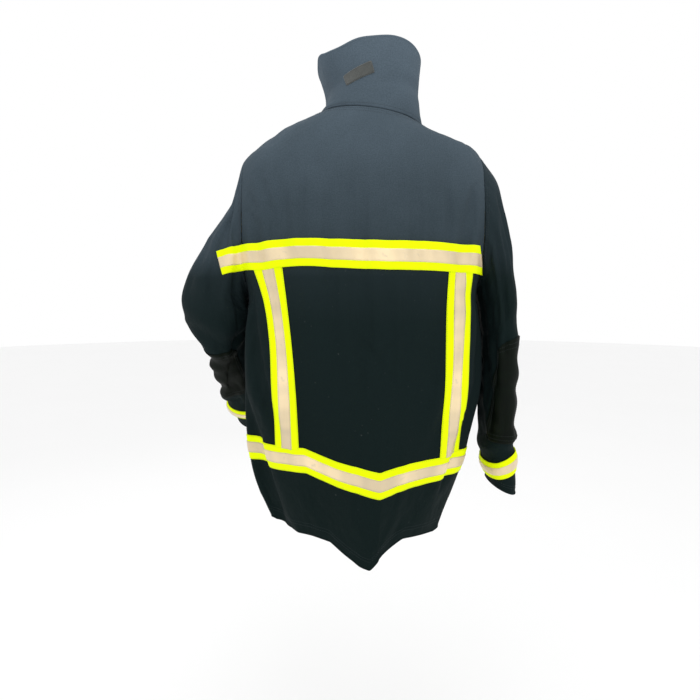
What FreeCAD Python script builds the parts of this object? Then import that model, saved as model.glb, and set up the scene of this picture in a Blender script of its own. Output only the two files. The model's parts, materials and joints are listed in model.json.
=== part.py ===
"""Firefighter's turnout coat, zipped up and hanging, with its left arm bent forward.

Frame: +Z up, the coat's front faces -Y, and the wearer's left is +X. The origin is the middle of the hanger
loop inside the back of the collar. Units are millimetres. The fabric is built in nested layers: outer shell,
moisture barrier and thermal liner, each one a tube that follows the same draped form at its own depth.
"""
import FreeCAD, Part
import math
import os

V = FreeCAD.Vector

# ---- driving dimensions ---------------------------------------------------------------------------------
HEM_Z = -865.0
SIDE_Y = -85.0            # plane of the side seams and the shoulder seams
FRONT_Y = -180.0          # front closure at z = 0
FRONT_LEAN = 0.10         # the front leans back by this much per mm of height
FRONT_FLAT = 6.0          # how far the front is cut back to make the flat closure strip
ARMHOLE_X = 232.0
ARMHOLE_LOW_Z = -335.0
NECK_HALF_WIDTH = 100.0
NECK_BACK_Y = 12.0

SHELL = (0.0, -2.0)       # outer and inner depth of each layer, measured outward from the form
BARRIER = (-3.0, -4.0)
LINER = (-5.0, -8.0)
TAPE = (1.05, 0.15)       # reflective trim lies on the shell, and its bright stripe lies on the trim
STRIPE = (1.6, 1.15)
TAPE_WIDTH = 50.0
STRIPE_WIDTH = 23.0
CHEST_TAPE_Z = -275.0
HEM_TAPE_Z = -702.0
BRACE_X = 172.0
CUFF_TAPE_WIDTH = 38.0
CUFF_STRIPE_WIDTH = 17.0
PANEL_GAP = 0.3           # half of the gap left at each seam between panels
FRONT_GAP = 14.0          # half of the opening that the zip closes

ZIP_LOW_Z = -800.0
ZIP_TOP_Z = 0.0
SLIDER_Z = -18.0          # lower end of the slider
TOOTH_PITCH = 6.0

# height, half width, y of the back, roundness of the corners: the draped form from hem to neck
FORM = [
    (HEM_Z, 190, 52, 2.1), (-790, 224, 60, 2.3), (-700, 242, 64, 2.6), (-560, 243, 63, 2.8),
    (-430, 237, 61, 3.0), (ARMHOLE_LOW_Z, 231, 60, 3.0), (-270, 246, 59, 3.0), (-200, 255, 56, 2.9),
    (-140, 253, 51, 2.7), (-98, 246, 44, 2.5), (-64, 222, 35, 2.3), (-38, 181, 27, 2.2),
    (-15, 131, 18, 2.1), (0, NECK_HALF_WIDTH + 2, NECK_BACK_Y, 2.0),
]
# height at the back, half width, y of the back: the standing collar
COLLAR_FORM = [(0.6, NECK_HALF_WIDTH, NECK_BACK_Y), (60, 97, 11), (130, 104, 17)]
FLAP_X = 40.0             # sewn edge of the storm flap
FLAP_WIDTH = 82.0
FLAP_OUT = 6.2            # the flap's inner face, measured outward from the closure strip
FLAP_TOP_Z = -60.0
TAB_HINGE_X = 60.0
TAB_LOW, TAB_HIGH = 14.0, 62.0
PATCH_TILT_DEG = 19.0
LOOP_HIGH = 18.0
COLLAR_BACK_TOP = 126.0
COLLAR_FRONT_TOP = 82.0

BIG = 2000.0


def front_y(z):
    return FRONT_Y + FRONT_LEAN * z


def up_the_front():
    """Unit vector up the leaning front closure."""
    return V(0, FRONT_LEAN, 1).normalize()


# ---- solid helpers --------------------------------------------------------------------------------------
def closed_curve(points):
    curve = Part.BSplineCurve()
    curve.interpolate(Points=points, PeriodicFlag=True)
    return Part.Wire(curve.toShape())


def loft(wires):
    return Part.makeLoft(wires, True, False)


def oval(centre, half_u, half_v, power=2.0, count=28):
    """Closed superellipse about centre, with half axes half_u and half_v given as vectors."""
    points = []
    for i in range(count):
        a = 2 * math.pi * i / count
        c = math.copysign(abs(math.cos(a)) ** (2 / power), math.cos(a))
        s = math.copysign(abs(math.sin(a)) ** (2 / power), math.sin(a))
        points.append(centre + half_u * c + half_v * s)
    return closed_curve(points)


def slab(low, high):
    return Part.makeBox(high[0] - low[0], high[1] - low[1], high[2] - low[2], V(*low))


def between_z(low, high):
    return slab((-BIG, -BIG, low), (BIG, BIG, high))


def between_x(low, high):
    return slab((low, -BIG, -BIG), (high, BIG, BIG))


def between_y(low, high):
    return slab((-BIG, low, -BIG), (BIG, high, BIG))


def mirrored(shape):
    """The same shape on the wearer's other side."""
    return shape.mirror(V(0, 0, 0), V(1, 0, 0))


def rounded(shape, radius):
    """All edges rounded, or the plain shape where a radius does not fit."""
    try:
        done = shape.makeFillet(radius, shape.Edges)
        return done if done.isValid() else shape
    except Exception:
        return shape


# ---- the draped forms -----------------------------------------------------------------------------------
def form_section(z, half_width, back_y, power, grow, count=36):
    """One horizontal section of the torso: different depths to front and back of the side plane."""
    back = back_y - SIDE_Y + grow
    front = SIDE_Y - front_y(z) + grow
    points = []
    for i in range(count):
        a = 2 * math.pi * (i + 0.5) / count
        c = math.copysign(abs(math.cos(a)) ** (2 / power), math.cos(a))
        s = math.copysign(abs(math.sin(a)) ** (2 / power), math.sin(a))
        points.append(V((half_width + grow) * c, SIDE_Y + (back if s > 0 else front) * s, z))
    return closed_curve(points)


def behind_front(grow):
    """Half space behind the leaning front plane, so that the closure strip is flat."""
    box = slab((-BIG, 0, -BIG), (BIG, BIG, BIG))
    box.rotate(V(0, 0, 0), V(1, 0, 0), -math.degrees(math.atan(FRONT_LEAN)))
    box.translate(V(0, FRONT_Y + FRONT_FLAT - grow, 0))
    return box


FORMS = {}


def torso(grow):
    """The filled torso, grown outward by a depth in mm."""
    if grow not in FORMS:
        wires = [form_section(z, w, b, p, grow) for z, w, b, p in FORM]
        body = loft(wires).common(behind_front(grow))
        sides = slab((-BIG, -BIG, ARMHOLE_LOW_Z), (-ARMHOLE_X, BIG, BIG))
        FORMS[grow] = body.cut(sides).cut(mirrored(sides))
    return FORMS[grow]


def collar(grow):
    """The filled collar, before its sloping top edge is cut."""
    wires = []
    for z, half_width, back_y in COLLAR_FORM:
        y_mid = (back_y + front_y(z)) / 2
        depth = (back_y - front_y(z)) / 2
        wires.append(oval(V(0, y_mid, z), V(half_width + grow, 0, 0), V(0, depth + grow, 0), 2.1))
    return loft(wires).common(behind_front(grow))


def collar_top():
    """Everything above the sloping top edge of the collar."""
    run = NECK_BACK_Y - FRONT_Y
    slope = math.degrees(math.atan((COLLAR_BACK_TOP - COLLAR_FRONT_TOP) / run))
    box = slab((-BIG, -BIG, 0), (BIG, BIG, BIG))
    box.rotate(V(0, 0, 0), V(1, 0, 0), slope)
    box.translate(V(0, NECK_BACK_Y, COLLAR_BACK_TOP))
    return box


def layer(depths, maker=torso):
    return maker(depths[0]).cut(maker(depths[1]))


# ---- sleeves --------------------------------------------------------------------------------------------
# Each section is (inner edge x and z, outer edge x and z, middle y, half depth in y), on the +X side.
ARMHOLE_START = (ARMHOLE_X + 1.5, -333, ARMHOLE_X + 1.5, -80, -80, 82)
STRAIGHT_ROWS = [
    ARMHOLE_START, (240, -352, 266, -128, -82, 86), (246, -378, 292, -222, -84, 87),
    (250, -412, 307, -306, -86, 85), (252, -450, 315, -400, -88, 81), (252, -500, 320, -500, -90, 77),
    (254, -590, 326, -590, -93, 70), (258, -680, 332, -680, -96, 63), (267, -765, 334, -765, -98, 58),
]
BENT_UPPER_ROWS = [
    ARMHOLE_START, (242, -350, 266, -128, -82, 86), (258, -372, 318, -220, -84, 87),
    (268, -390, 360, -300, -88, 85),
]
BENT_FOREARM_ROWS = [(-0.1, 56, 66), (0.3, 53, 62), (0.7, 49, 56), (1.0, 46, 54)]
BENT_ELBOW = V(322, -104, -404)
BENT_CUFF = V(268, -338, -646)
SLEEVE_POWER = 2.15
SLEEVE_LINER = (-3.5, -7.5)
WRISTLET = (-8.5, -11.5)

SHOULDER_PIVOT = V(ARMHOLE_X + 1.5, -80, -80)
STRAIGHT_PIVOT = V(286, -135, -495)
STRAIGHT_AXIS = V(-1, 0, 0)
STRAIGHT_FLEX_DEG = 80.0
UPPER_ALONG = V(0.44, -0.11, -0.89).normalize()
BENT_ALONG = (BENT_CUFF - BENT_ELBOW).normalize()
BENT_AXIS = UPPER_ALONG.cross(BENT_ALONG).normalize()
BENT_CREASE = (BENT_ALONG - UPPER_ALONG).normalize()
BENT_PIVOT = BENT_ELBOW + BENT_CREASE * 35
BENT_STRAIGHTEN_DEG = 22.0
BENT_FLEX_DEG = 22.0


def fan_section(row, grow):
    inner_x, inner_z, outer_x, outer_z, y, depth = row
    centre = V((inner_x + outer_x) / 2, y, (inner_z + outer_z) / 2)
    half = V((outer_x - inner_x) / 2, 0, (outer_z - inner_z) / 2)
    half = half * ((half.Length + grow) / half.Length)
    return oval(centre, half, V(0, depth + grow, 0), SLEEVE_POWER)


def straight_sleeve(grow):
    return loft([fan_section(row, grow) for row in STRAIGHT_ROWS])


def frame_across(along, hint):
    """Two unit vectors across a direction, the first one nearest to hint."""
    side = (hint - along * hint.dot(along)).normalize()
    return side, side.cross(along).normalize()


def bent_upper(grow):
    wires = [fan_section(row, grow) for row in BENT_UPPER_ROWS]
    along = (UPPER_ALONG + BENT_ALONG).normalize()
    side, up = frame_across(along, V(1, 0, 0))
    wires.append(oval(BENT_ELBOW + along * 12, side * (56 + grow), up * (72 + grow), SLEEVE_POWER))
    return loft(wires)


def bent_forearm(grow):
    side, up = frame_across(BENT_ALONG, V(1, 0, 0))
    wires = []
    for share, wide, deep in BENT_FOREARM_ROWS:
        centre = BENT_ELBOW + (BENT_CUFF - BENT_ELBOW) * share
        wires.append(oval(centre, side * (wide + grow), up * (deep + grow), SLEEVE_POWER))
    return loft(wires)


def sector(pivot, axis, middle, from_deg, to_deg):
    """Wide prism around a hinge, holding the directions from from_deg to to_deg of middle, about axis."""
    reach = 600.0
    steps = 4
    points = [pivot - axis * reach]
    for i in range(steps + 1):
        turn = FreeCAD.Rotation(axis, from_deg + (to_deg - from_deg) * i / steps)
        points.append(points[0] + turn.multVec(middle) * reach)
    face = Part.Face(Part.makePolygon(points + [points[0]]))
    return face.extrude(axis * (2 * reach))


def straight_halves():
    """Room for the upper sleeve and for the forearm of a straight sleeve, with a notch in the elbow's crease."""
    inner = (180 - STRAIGHT_FLEX_DEG) / 2 - 1.5
    outer = 89.6
    up, down = V(0, 0, 1), V(0, 0, -1)
    return (sector(STRAIGHT_PIVOT, STRAIGHT_AXIS, up, -inner, outer),
            sector(STRAIGHT_PIVOT, STRAIGHT_AXIS, down, -outer, inner))


def bent_halves():
    bend = math.degrees(math.acos(UPPER_ALONG.dot(BENT_ALONG)))
    inner = (180 - bend - BENT_FLEX_DEG) / 2 - 1.5
    outer = (180 + bend - BENT_STRAIGHTEN_DEG) / 2 - 1.5
    return (sector(BENT_PIVOT, BENT_AXIS, UPPER_ALONG * -1, -inner, outer),
            sector(BENT_PIVOT, BENT_AXIS, BENT_ALONG, -outer, inner))


def near_cuff(origin, along, low, high):
    """Everything between two distances back from the cuff's end, measured along the sleeve."""
    box = slab((-BIG, -BIG, low), (BIG, BIG, high))
    box.Placement = FreeCAD.Placement(origin, FreeCAD.Rotation(V(0, 0, 1), along * -1))
    return box


def build_sleeve(side):
    """Upper sleeve and forearm of one arm, each with its shell, liner and trim."""
    if side == "right":
        upper_form, forearm_form = straight_sleeve, straight_sleeve
        upper_room, forearm_room = straight_halves()
        cuff_end, along = V(300, -98, -765), V(0, 0, -1)
        place = mirrored
    else:
        upper_form, forearm_form = bent_upper, bent_forearm
        upper_room, forearm_room = bent_halves()
        cuff_end, along = BENT_CUFF, BENT_ALONG
        place = Part.Shape.copy
    beyond_armhole = between_x(ARMHOLE_X + 1.4, BIG)
    for name, depths in (("shell", SHELL), ("liner", SLEEVE_LINER)):
        upper = layer(depths, upper_form).common(upper_room).common(beyond_armhole)
        keep(f"{side}_upper_sleeve_{name}", place(upper))
        keep(f"{side}_forearm_{name}", place(layer(depths, forearm_form).common(forearm_room)))
    wristlet = layer(WRISTLET, forearm_form).common(near_cuff(cuff_end, along, 4, 80))
    keep(side + "_wristlet", place(wristlet))
    middle = 51.0
    for kind, depths, width in (("tape", TAPE, CUFF_TAPE_WIDTH), ("stripe", STRIPE, CUFF_STRIPE_WIDTH)):
        band = near_cuff(cuff_end, along, middle - width / 2, middle + width / 2)
        keep(f"{side}_cuff_{kind}", place(layer(depths, forearm_form).common(band)))
    patch = layer((1.4, 0.15), forearm_form).common(forearm_room)
    patch = patch.common(near_cuff(cuff_end, along, 128, 262))
    if side == "right":
        patch = patch.common(between_y(-78, BIG))
    else:
        inward, _ = frame_across(BENT_ALONG, BENT_CREASE)
        behind = slab((-BIG, -BIG, -BIG), (BIG, BIG, 0))
        behind.Placement = FreeCAD.Placement(BENT_ELBOW, FreeCAD.Rotation(V(0, 0, 1), inward))
        patch = patch.common(behind)
    keep(side + "_elbow_patch", place(patch))


PARTS = {}


def keep(name, shape):
    """Store one node, made of one or more closed solids."""
    solids = [s for s in shape.Solids if s.Volume > 1.0]
    PARTS[name] = solids[0] if len(solids) == 1 else Part.makeCompound(solids)


# ---- shell panels, layers and collar --------------------------------------------------------------------
def build_shell():
    shell = layer(SHELL)
    back = shell.common(between_y(SIDE_Y + PANEL_GAP, BIG))
    front = shell.common(between_y(-BIG, SIDE_Y - PANEL_GAP))
    keep("back_yoke", back.common(between_z(CHEST_TAPE_Z + PANEL_GAP, BIG)))
    keep("back_panel", back.common(between_z(-BIG, CHEST_TAPE_Z - PANEL_GAP)))
    keep("left_front_panel", front.common(between_x(FRONT_GAP, BIG)))
    keep("right_front_panel", front.common(between_x(-BIG, -FRONT_GAP)))
    opening = slab((-FRONT_GAP - 10, -BIG, -BIG), (FRONT_GAP + 10, SIDE_Y, BIG))
    keep("moisture_barrier", layer(BARRIER).cut(opening))
    keep("thermal_liner", layer(LINER).cut(opening))


def build_collar():
    opening = slab((-FRONT_GAP / 2, -BIG, -BIG), (FRONT_GAP / 2, SIDE_Y, BIG))
    for name, depths in (("collar_shell", SHELL), ("collar_lining", (-2.6, -5.6))):
        keep(name, layer(depths, collar).cut(collar_top()).cut(opening))


# ---- reflective trim ------------------------------------------------------------------------------------
def trim(depths, width, z):
    return layer(depths).common(between_z(z - width / 2, z + width / 2))


def build_trim():
    front_left = slab((48, -BIG, -BIG), (ARMHOLE_X - 4, SIDE_Y - 1, BIG))
    back = slab((-ARMHOLE_X + 4, SIDE_Y + 1, -BIG), (ARMHOLE_X - 4, BIG, BIG))
    for kind, depths, width in (("tape", TAPE, TAPE_WIDTH), ("stripe", STRIPE, STRIPE_WIDTH)):
        chest = trim(depths, width, CHEST_TAPE_Z)
        left = chest.common(front_left)
        keep("chest_" + kind, Part.makeCompound([chest.common(back), left, mirrored(left)]))
        hem = trim(depths, width, HEM_TAPE_Z)
        keep("hem_" + kind, hem.cut(slab((-50, -BIG, -BIG), (50, SIDE_Y, BIG))))
        low = HEM_TAPE_Z + TAPE_WIDTH / 2 + 0.5
        high = CHEST_TAPE_Z - TAPE_WIDTH / 2 - 0.5
        strip = layer(depths).common(slab((BRACE_X - width / 2, SIDE_Y + 1, low), (BRACE_X + width / 2, BIG, high)))
        keep("brace_" + kind, Part.makeCompound([strip, mirrored(strip)]))


# ---- front closure --------------------------------------------------------------------------------------
def front_box(x_low, x_high, deep_low, deep_high, z_low, z_high):
    """Box on the leaning front plane; depths are measured outward from the flat closure strip."""
    box = slab((x_low, -deep_high, z_low), (x_high, -deep_low, z_high))
    box.rotate(V(0, 0, 0), V(1, 0, 0), -math.degrees(math.atan(FRONT_LEAN)))
    box.translate(V(0, FRONT_Y + FRONT_FLAT, 0))
    return box


def build_zip():
    for side, place in (("left", Part.Shape.copy), ("right", mirrored)):
        keep(side + "_zip_tape", place(front_box(2.2, 30, -2.9, -2.1, ZIP_LOW_Z, ZIP_TOP_Z)))
        teeth = []
        offset = 0 if side == "left" else TOOTH_PITCH / 2
        for i in range(int((ZIP_TOP_Z - ZIP_LOW_Z) / TOOTH_PITCH)):
            z = ZIP_LOW_Z + offset + i * TOOTH_PITCH
            teeth.append(front_box(-1.6, 6.0, -2.0, 0.3, z, z + TOOTH_PITCH * 0.42))
        keep(side + "_zip_teeth", place(Part.makeCompound(teeth)))
    keep("zip_bottom_box", rounded(front_box(-7, 7, -1.9, 1.0, ZIP_LOW_Z - 13, ZIP_LOW_Z - 1), 0.6))
    top = SLIDER_Z
    slider = front_box(-8, 8, 0.5, 2.6, top, top + 17)
    slider = slider.fuse(front_box(-1.2, 1.2, 4.2, 5.3, top + 3, top + 15))
    for low in (top + 3, top + 13):
        slider = slider.fuse(front_box(-1.2, 1.2, 2.5, 4.3, low, low + 2))
    keep("zip_slider", slider)
    pull = front_box(-4.5, 4.5, 2.95, 3.85, top - 30, top + 8.95)
    keep("zip_pull", pull.cut(front_box(-2.0, 2.0, 2, 5, top - 2, top + 8.05)))


def build_storm_flap():
    low = HEM_Z + 30
    flap = front_box(FLAP_X - FLAP_WIDTH, FLAP_X, FLAP_OUT, FLAP_OUT + 4, low, FLAP_TOP_Z)
    keep("storm_flap", rounded(flap, 1.2))
    ends = (low + 20, FLAP_TOP_Z - 20)
    keep("storm_flap_hook_strip", front_box(-38, -18, FLAP_OUT - 1.3, FLAP_OUT - 0.1, *ends))
    keep("front_loop_strip", front_box(-39, -17, 0.1, 1.4, *ends))


# ---- throat tab and collar patches ----------------------------------------------------------------------
TAB_HINGE_X = 60.0
TAB_LOW, TAB_HIGH = 14.0, 62.0


def build_throat_tab():
    window = slab((-74, -BIG, TAB_LOW), (TAB_HINGE_X, SIDE_Y - 20, TAB_HIGH))
    keep("throat_tab", layer((9.6, 6.0), collar).common(window))
    inner = slab((-70, -BIG, TAB_LOW + 7), (-34, SIDE_Y, TAB_HIGH - 7))
    keep("throat_tab_hook_patch", layer((5.8, 4.8), collar).common(inner))
    keep("throat_loop_patch", layer((1.4, 0.15), collar).common(inner))


def build_collar_patch():
    """Hook-and-loop patch on the back of the collar, where the free throat tab is parked."""
    window = slab((-26, -30, -9), (26, 60, 9))
    window.rotate(V(0, 0, 0), V(0, 1, 0), PATCH_TILT_DEG)
    window.translate(V(10, 0, 58))
    keep("collar_tab_patch", layer((1.6, 0.15), collar).common(window))


def build_hanger_loop():
    """Webbing loop inside the back of the collar, bowed away from the lining so that a hook goes behind it."""
    edges = []
    for back in (0.0, 2.0):
        edges.append(Part.Arc(V(-24, back - 1, 0), V(0, back - 3, 0), V(24, back - 1, 0)).toShape())
    for x in (-24, 24):
        edges.append(Part.makeLine(V(x, -1, 0), V(x, 1, 0)))
    face = Part.Face(Part.Wire(Part.__sortEdges__(edges)))
    loop = face.extrude(V(0, 0, LOOP_HIGH))
    loop.translate(V(0, 0, -LOOP_HIGH / 2))
    keep("hanger_loop", loop)


# ---- pockets, tabs and hardware -------------------------------------------------------------------------
LEAN_DEG = math.degrees(math.atan(FRONT_LEAN))


class Panel:
    """A flat working plane on the front of the coat: local x across, local y inward, local z up."""

    def __init__(self, x, z, yaw_deg):
        self.origin = V(x, surface_y(x, z) - 3.0, z)
        self.yaw = yaw_deg

    def place(self, shape):
        shape = shape.copy()
        shape.rotate(V(0, 0, 0), V(1, 0, 0), -LEAN_DEG)
        shape.rotate(V(0, 0, 0), V(0, 0, 1), self.yaw)
        shape.translate(self.origin)
        return shape

    def point(self, x, out, z):
        """World place of a local point, with out measured outward."""
        return self.place(Part.Vertex(V(x, -out, z))).Point

    def across(self):
        return (self.point(1, 0, 0) - self.point(0, 0, 0)).normalize()

    def outward(self):
        return (self.point(0, 1, 0) - self.point(0, 0, 0)).normalize()

    def box(self, half_width, out_low, out_high, z_low, z_high):
        return self.place(slab((-half_width, -out_high, z_low), (half_width, -out_low, z_high)))


def surface_y(x, z):
    """y of the front surface of the torso at a place between two rows of the form."""
    for (z0, w0, _, p0), (z1, w1, _, p1) in zip(FORM, FORM[1:]):
        if z0 <= z <= z1:
            share = (z - z0) / (z1 - z0)
            width = w0 + (w1 - w0) * share
            power = p0 + (p1 - p0) * share
            depth = SIDE_Y - front_y(z)
            return SIDE_Y - depth * (1 - (abs(x) / width) ** power) ** (1 / power)
    raise ValueError("z is outside the form")


POCKET = Panel(141, -560, 17)
RADIO = Panel(122, -187, 9)
RING_TAB = Panel(122, -150, 9)
HOOK_TAB = Panel(118, -330, 8)
POCKET_SIZE = (66, 25, 104)          # half width, depth, half height
RADIO_SIZE = (37, 22, 50)
FLAP_THICK = 3.2


def pocket_bag(panel, size, wall=2.4):
    half, depth, tall = size
    bag = panel.box(half, -80, depth, -tall, tall)
    bag = bag.cut(panel.box(half - wall, -90, depth - wall, -tall + wall, tall + 50))
    return bag.cut(torso(0.4))


def flap_hinge(size):
    """Local out and z of the line where a flap is sewn on."""
    return 4.5, size[2] + 18.0


def pocket_flap(panel, size, drop):
    half, depth, tall = size
    out, z = flap_hinge(size)
    face_out = depth + 2.0
    far = face_out + FLAP_THICK
    profile = [(out - 1.0, z + 1.6), (out + 1.6, z + 2.4), (far, tall + 6.5), (far, z - drop),
               (face_out, z - drop), (face_out, tall + 4.2), (out + 0.6, z - 1.6), (out - 1.0, z - 1.6)]
    points = [V(-half - 5, -o, h) for o, h in profile]
    face = Part.Face(Part.makePolygon(points + [points[0]]))
    return panel.place(face.extrude(V(2 * half + 10, 0, 0)))


def build_pockets():
    loops = []
    for name, panel, size, drop in (("pocket", POCKET, POCKET_SIZE, 84), ("radio", RADIO, RADIO_SIZE, 46)):
        half, depth, tall = size
        ends = (tall - drop + 26, tall - drop + 46)
        bag = pocket_bag(panel, size)
        flap = pocket_flap(panel, size, drop)
        hook = panel.box(half * 0.6, depth + 1.0, depth + 1.9, *ends)
        loops.append(panel.box(half * 0.6, depth + 0.1, depth + 0.9, *ends))
        for part_name, shape in (("bag", bag), ("flap", flap), ("flap_hook_patch", hook)):
            if name == "radio":
                keep("radio_pocket_" + part_name, shape)
            else:
                keep("left_pocket_" + part_name, shape)
                keep("right_pocket_" + part_name, mirrored(shape))
    keep("pocket_loop_patches", Part.makeCompound([loops[0], mirrored(loops[0]), loops[1]]))


def webbing_tab(panel, length):
    """Folded webbing, sewn flat at the top, with a round loop at its bottom that holds a bar."""
    tube_out = 7.0
    strap = panel.box(10, 0.3, 2.9, -2, length)
    loop = Part.makeCylinder(4.4, 20, V(-10, -tube_out, -2), V(1, 0, 0))
    strap = strap.fuse(panel.place(loop)).fuse(panel.box(10, 0.3, 5.0, -5.4, 1.4))
    bore = panel.place(Part.makeCylinder(2.6, 40, V(-20, -tube_out, -2), V(1, 0, 0)))
    return strap.cut(bore)


BAR_OUT, BAR_Z, BAR_R = 7.0, -2.0, 2.3


def bar(p, q, radius=BAR_R):
    return Part.makeCylinder(radius, (q - p).Length, p, q - p)


def half_ring(centre, radius, thick, start_deg, sweep_deg):
    """Part of a round ring that lies in the local xz plane."""
    ring = Part.makeTorus(radius, thick, V(0, 0, 0), V(0, -1, 0), -180, 180, sweep_deg)
    ring.rotate(V(0, 0, 0), V(0, -1, 0), start_deg)
    ring.translate(centre)
    return ring


def build_hardware():
    keep("d_ring_tab", mirrored(webbing_tab(RING_TAB, 34)))
    y = -BAR_OUT
    ends = (V(-14, y, BAR_Z), V(14, y, BAR_Z))
    ring = bar(*ends)
    low = [V(p.x, y, BAR_Z - 8) for p in ends]
    for top, bottom in zip(ends, low):
        ring = ring.fuse(bar(top, bottom)).fuse(Part.makeSphere(BAR_R, top)).fuse(Part.makeSphere(BAR_R, bottom))
    corner = V(0, y, BAR_Z - 22)
    for bottom in low:
        ring = ring.fuse(bar(bottom, corner))
    ring = ring.fuse(Part.makeSphere(BAR_R, corner))
    keep("d_ring", mirrored(RING_TAB.place(ring)))

    keep("glove_hook_tab", mirrored(webbing_tab(HOOK_TAB, 30)))
    shank_top = V(0, y, BAR_Z - 18)
    hook = bar(*ends)
    for end, bottom in zip(ends, low):
        hook = hook.fuse(bar(end, bottom)).fuse(bar(bottom, shank_top))
        hook = hook.fuse(Part.makeSphere(BAR_R, end)).fuse(Part.makeSphere(BAR_R, bottom))
    centre = V(0, y, BAR_Z - 46)
    hook = hook.fuse(Part.makeSphere(BAR_R + 1.2, shank_top))
    hook = hook.fuse(bar(shank_top, centre + V(0, 0, 14), BAR_R + 0.6))
    points = ring_points(centre, 14.0, 62, 338, 12)
    for a, b in zip(points, points[1:]):
        hook = hook.fuse(bar(a, b, 2.6)).fuse(Part.makeSphere(2.6, b))
    hook = hook.fuse(Part.makeSphere(2.6, points[0]))
    keep("snap_hook", mirrored(HOOK_TAB.place(hook)))
    hinge, nose = points[0], points[-1]
    along = (nose - hinge).normalize()
    gate = bar(hinge + along * 3.4, nose - along * 3.4, 2.0)
    keep("snap_gate", mirrored(HOOK_TAB.place(gate)))


def ring_points(centre, radius, from_deg, to_deg, count):
    points = []
    for i in range(count + 1):
        a = math.radians(from_deg + (to_deg - from_deg) * i / count)
        points.append(centre + V(radius * math.cos(a), 0, radius * math.sin(a)))
    return points


def build_all():
    build_shell()
    build_collar()
    build_trim()
    build_zip()
    build_storm_flap()
    build_throat_tab()
    build_collar_patch()
    build_hanger_loop()
    build_pockets()
    build_hardware()
    build_sleeve("left")
    build_sleeve("right")


if __name__ == "__main__":
    build_all()
    os.makedirs("parts", exist_ok=True)
    for name, shape in PARTS.items():
        shape.exportStep(f"parts/{name}.step")
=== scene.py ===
import json
import math
import bmesh
import bpy
import numpy as np
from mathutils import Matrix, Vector
from mathutils.bvhtree import BVHTree


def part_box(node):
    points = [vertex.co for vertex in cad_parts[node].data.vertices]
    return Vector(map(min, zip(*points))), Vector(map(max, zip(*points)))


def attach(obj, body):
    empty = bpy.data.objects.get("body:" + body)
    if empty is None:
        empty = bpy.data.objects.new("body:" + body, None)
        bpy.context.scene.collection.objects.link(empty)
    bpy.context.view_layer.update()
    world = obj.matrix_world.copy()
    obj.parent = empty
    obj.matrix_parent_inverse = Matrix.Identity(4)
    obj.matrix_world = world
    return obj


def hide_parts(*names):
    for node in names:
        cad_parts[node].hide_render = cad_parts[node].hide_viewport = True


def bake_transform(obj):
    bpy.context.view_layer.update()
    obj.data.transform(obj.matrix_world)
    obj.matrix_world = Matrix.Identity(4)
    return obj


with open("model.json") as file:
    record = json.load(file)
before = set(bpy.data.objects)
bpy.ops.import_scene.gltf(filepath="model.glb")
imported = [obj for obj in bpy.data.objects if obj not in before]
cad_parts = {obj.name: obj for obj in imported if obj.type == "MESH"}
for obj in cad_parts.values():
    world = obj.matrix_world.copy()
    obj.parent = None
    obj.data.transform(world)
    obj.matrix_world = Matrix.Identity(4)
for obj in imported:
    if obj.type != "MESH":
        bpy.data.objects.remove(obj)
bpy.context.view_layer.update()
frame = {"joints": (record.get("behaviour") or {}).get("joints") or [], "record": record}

LOW, HIGH = 0, 1

# ---- places taken from the frame ----
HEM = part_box("back_panel")[LOW].z
CHEST_TAPE, HEM_TAPE = ([corner.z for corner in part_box(node)] for node in ("chest_tape", "hem_tape"))
ARMHOLE_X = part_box("back_yoke")[HIGH].x
JOINTS = {j["name"]: j for j in frame["joints"]}
MOUNTS = {m["name"]: m for m in frame["record"]["mounts"]}

# ---- draped form of the torso: height, half width, y of the back, roundness ----
SIDE_Y = -0.085
ARMHOLE_LOW = -0.335
FRONT_AT_NECK = -0.180
FRONT_LEAN = 0.10
CLOSURE_SET_BACK = 0.006
ARMHOLE_MIDDLE = (-0.080, -0.2065)
TURN = 2 * math.pi
FORM = np.array([
    (-0.865, 0.190, 0.052, 2.1), (-0.790, 0.224, 0.060, 2.3), (-0.700, 0.242, 0.064, 2.6),
    (-0.560, 0.243, 0.063, 2.8), (-0.430, 0.237, 0.061, 3.0), (-0.335, 0.231, 0.060, 3.0),
    (-0.270, 0.246, 0.059, 3.0), (-0.200, 0.255, 0.056, 2.9), (-0.140, 0.253, 0.051, 2.7),
    (-0.098, 0.246, 0.044, 2.5), (-0.064, 0.222, 0.035, 2.3), (-0.038, 0.181, 0.027, 2.2),
    (-0.015, 0.131, 0.018, 2.1), (0.000, 0.102, 0.012, 2.0),
])
COLLAR = np.array([(0.0006, 0.100, 0.012), (0.060, 0.097, 0.011), (0.130, 0.104, 0.017)])
RIDGE_X = -0.036

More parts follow.
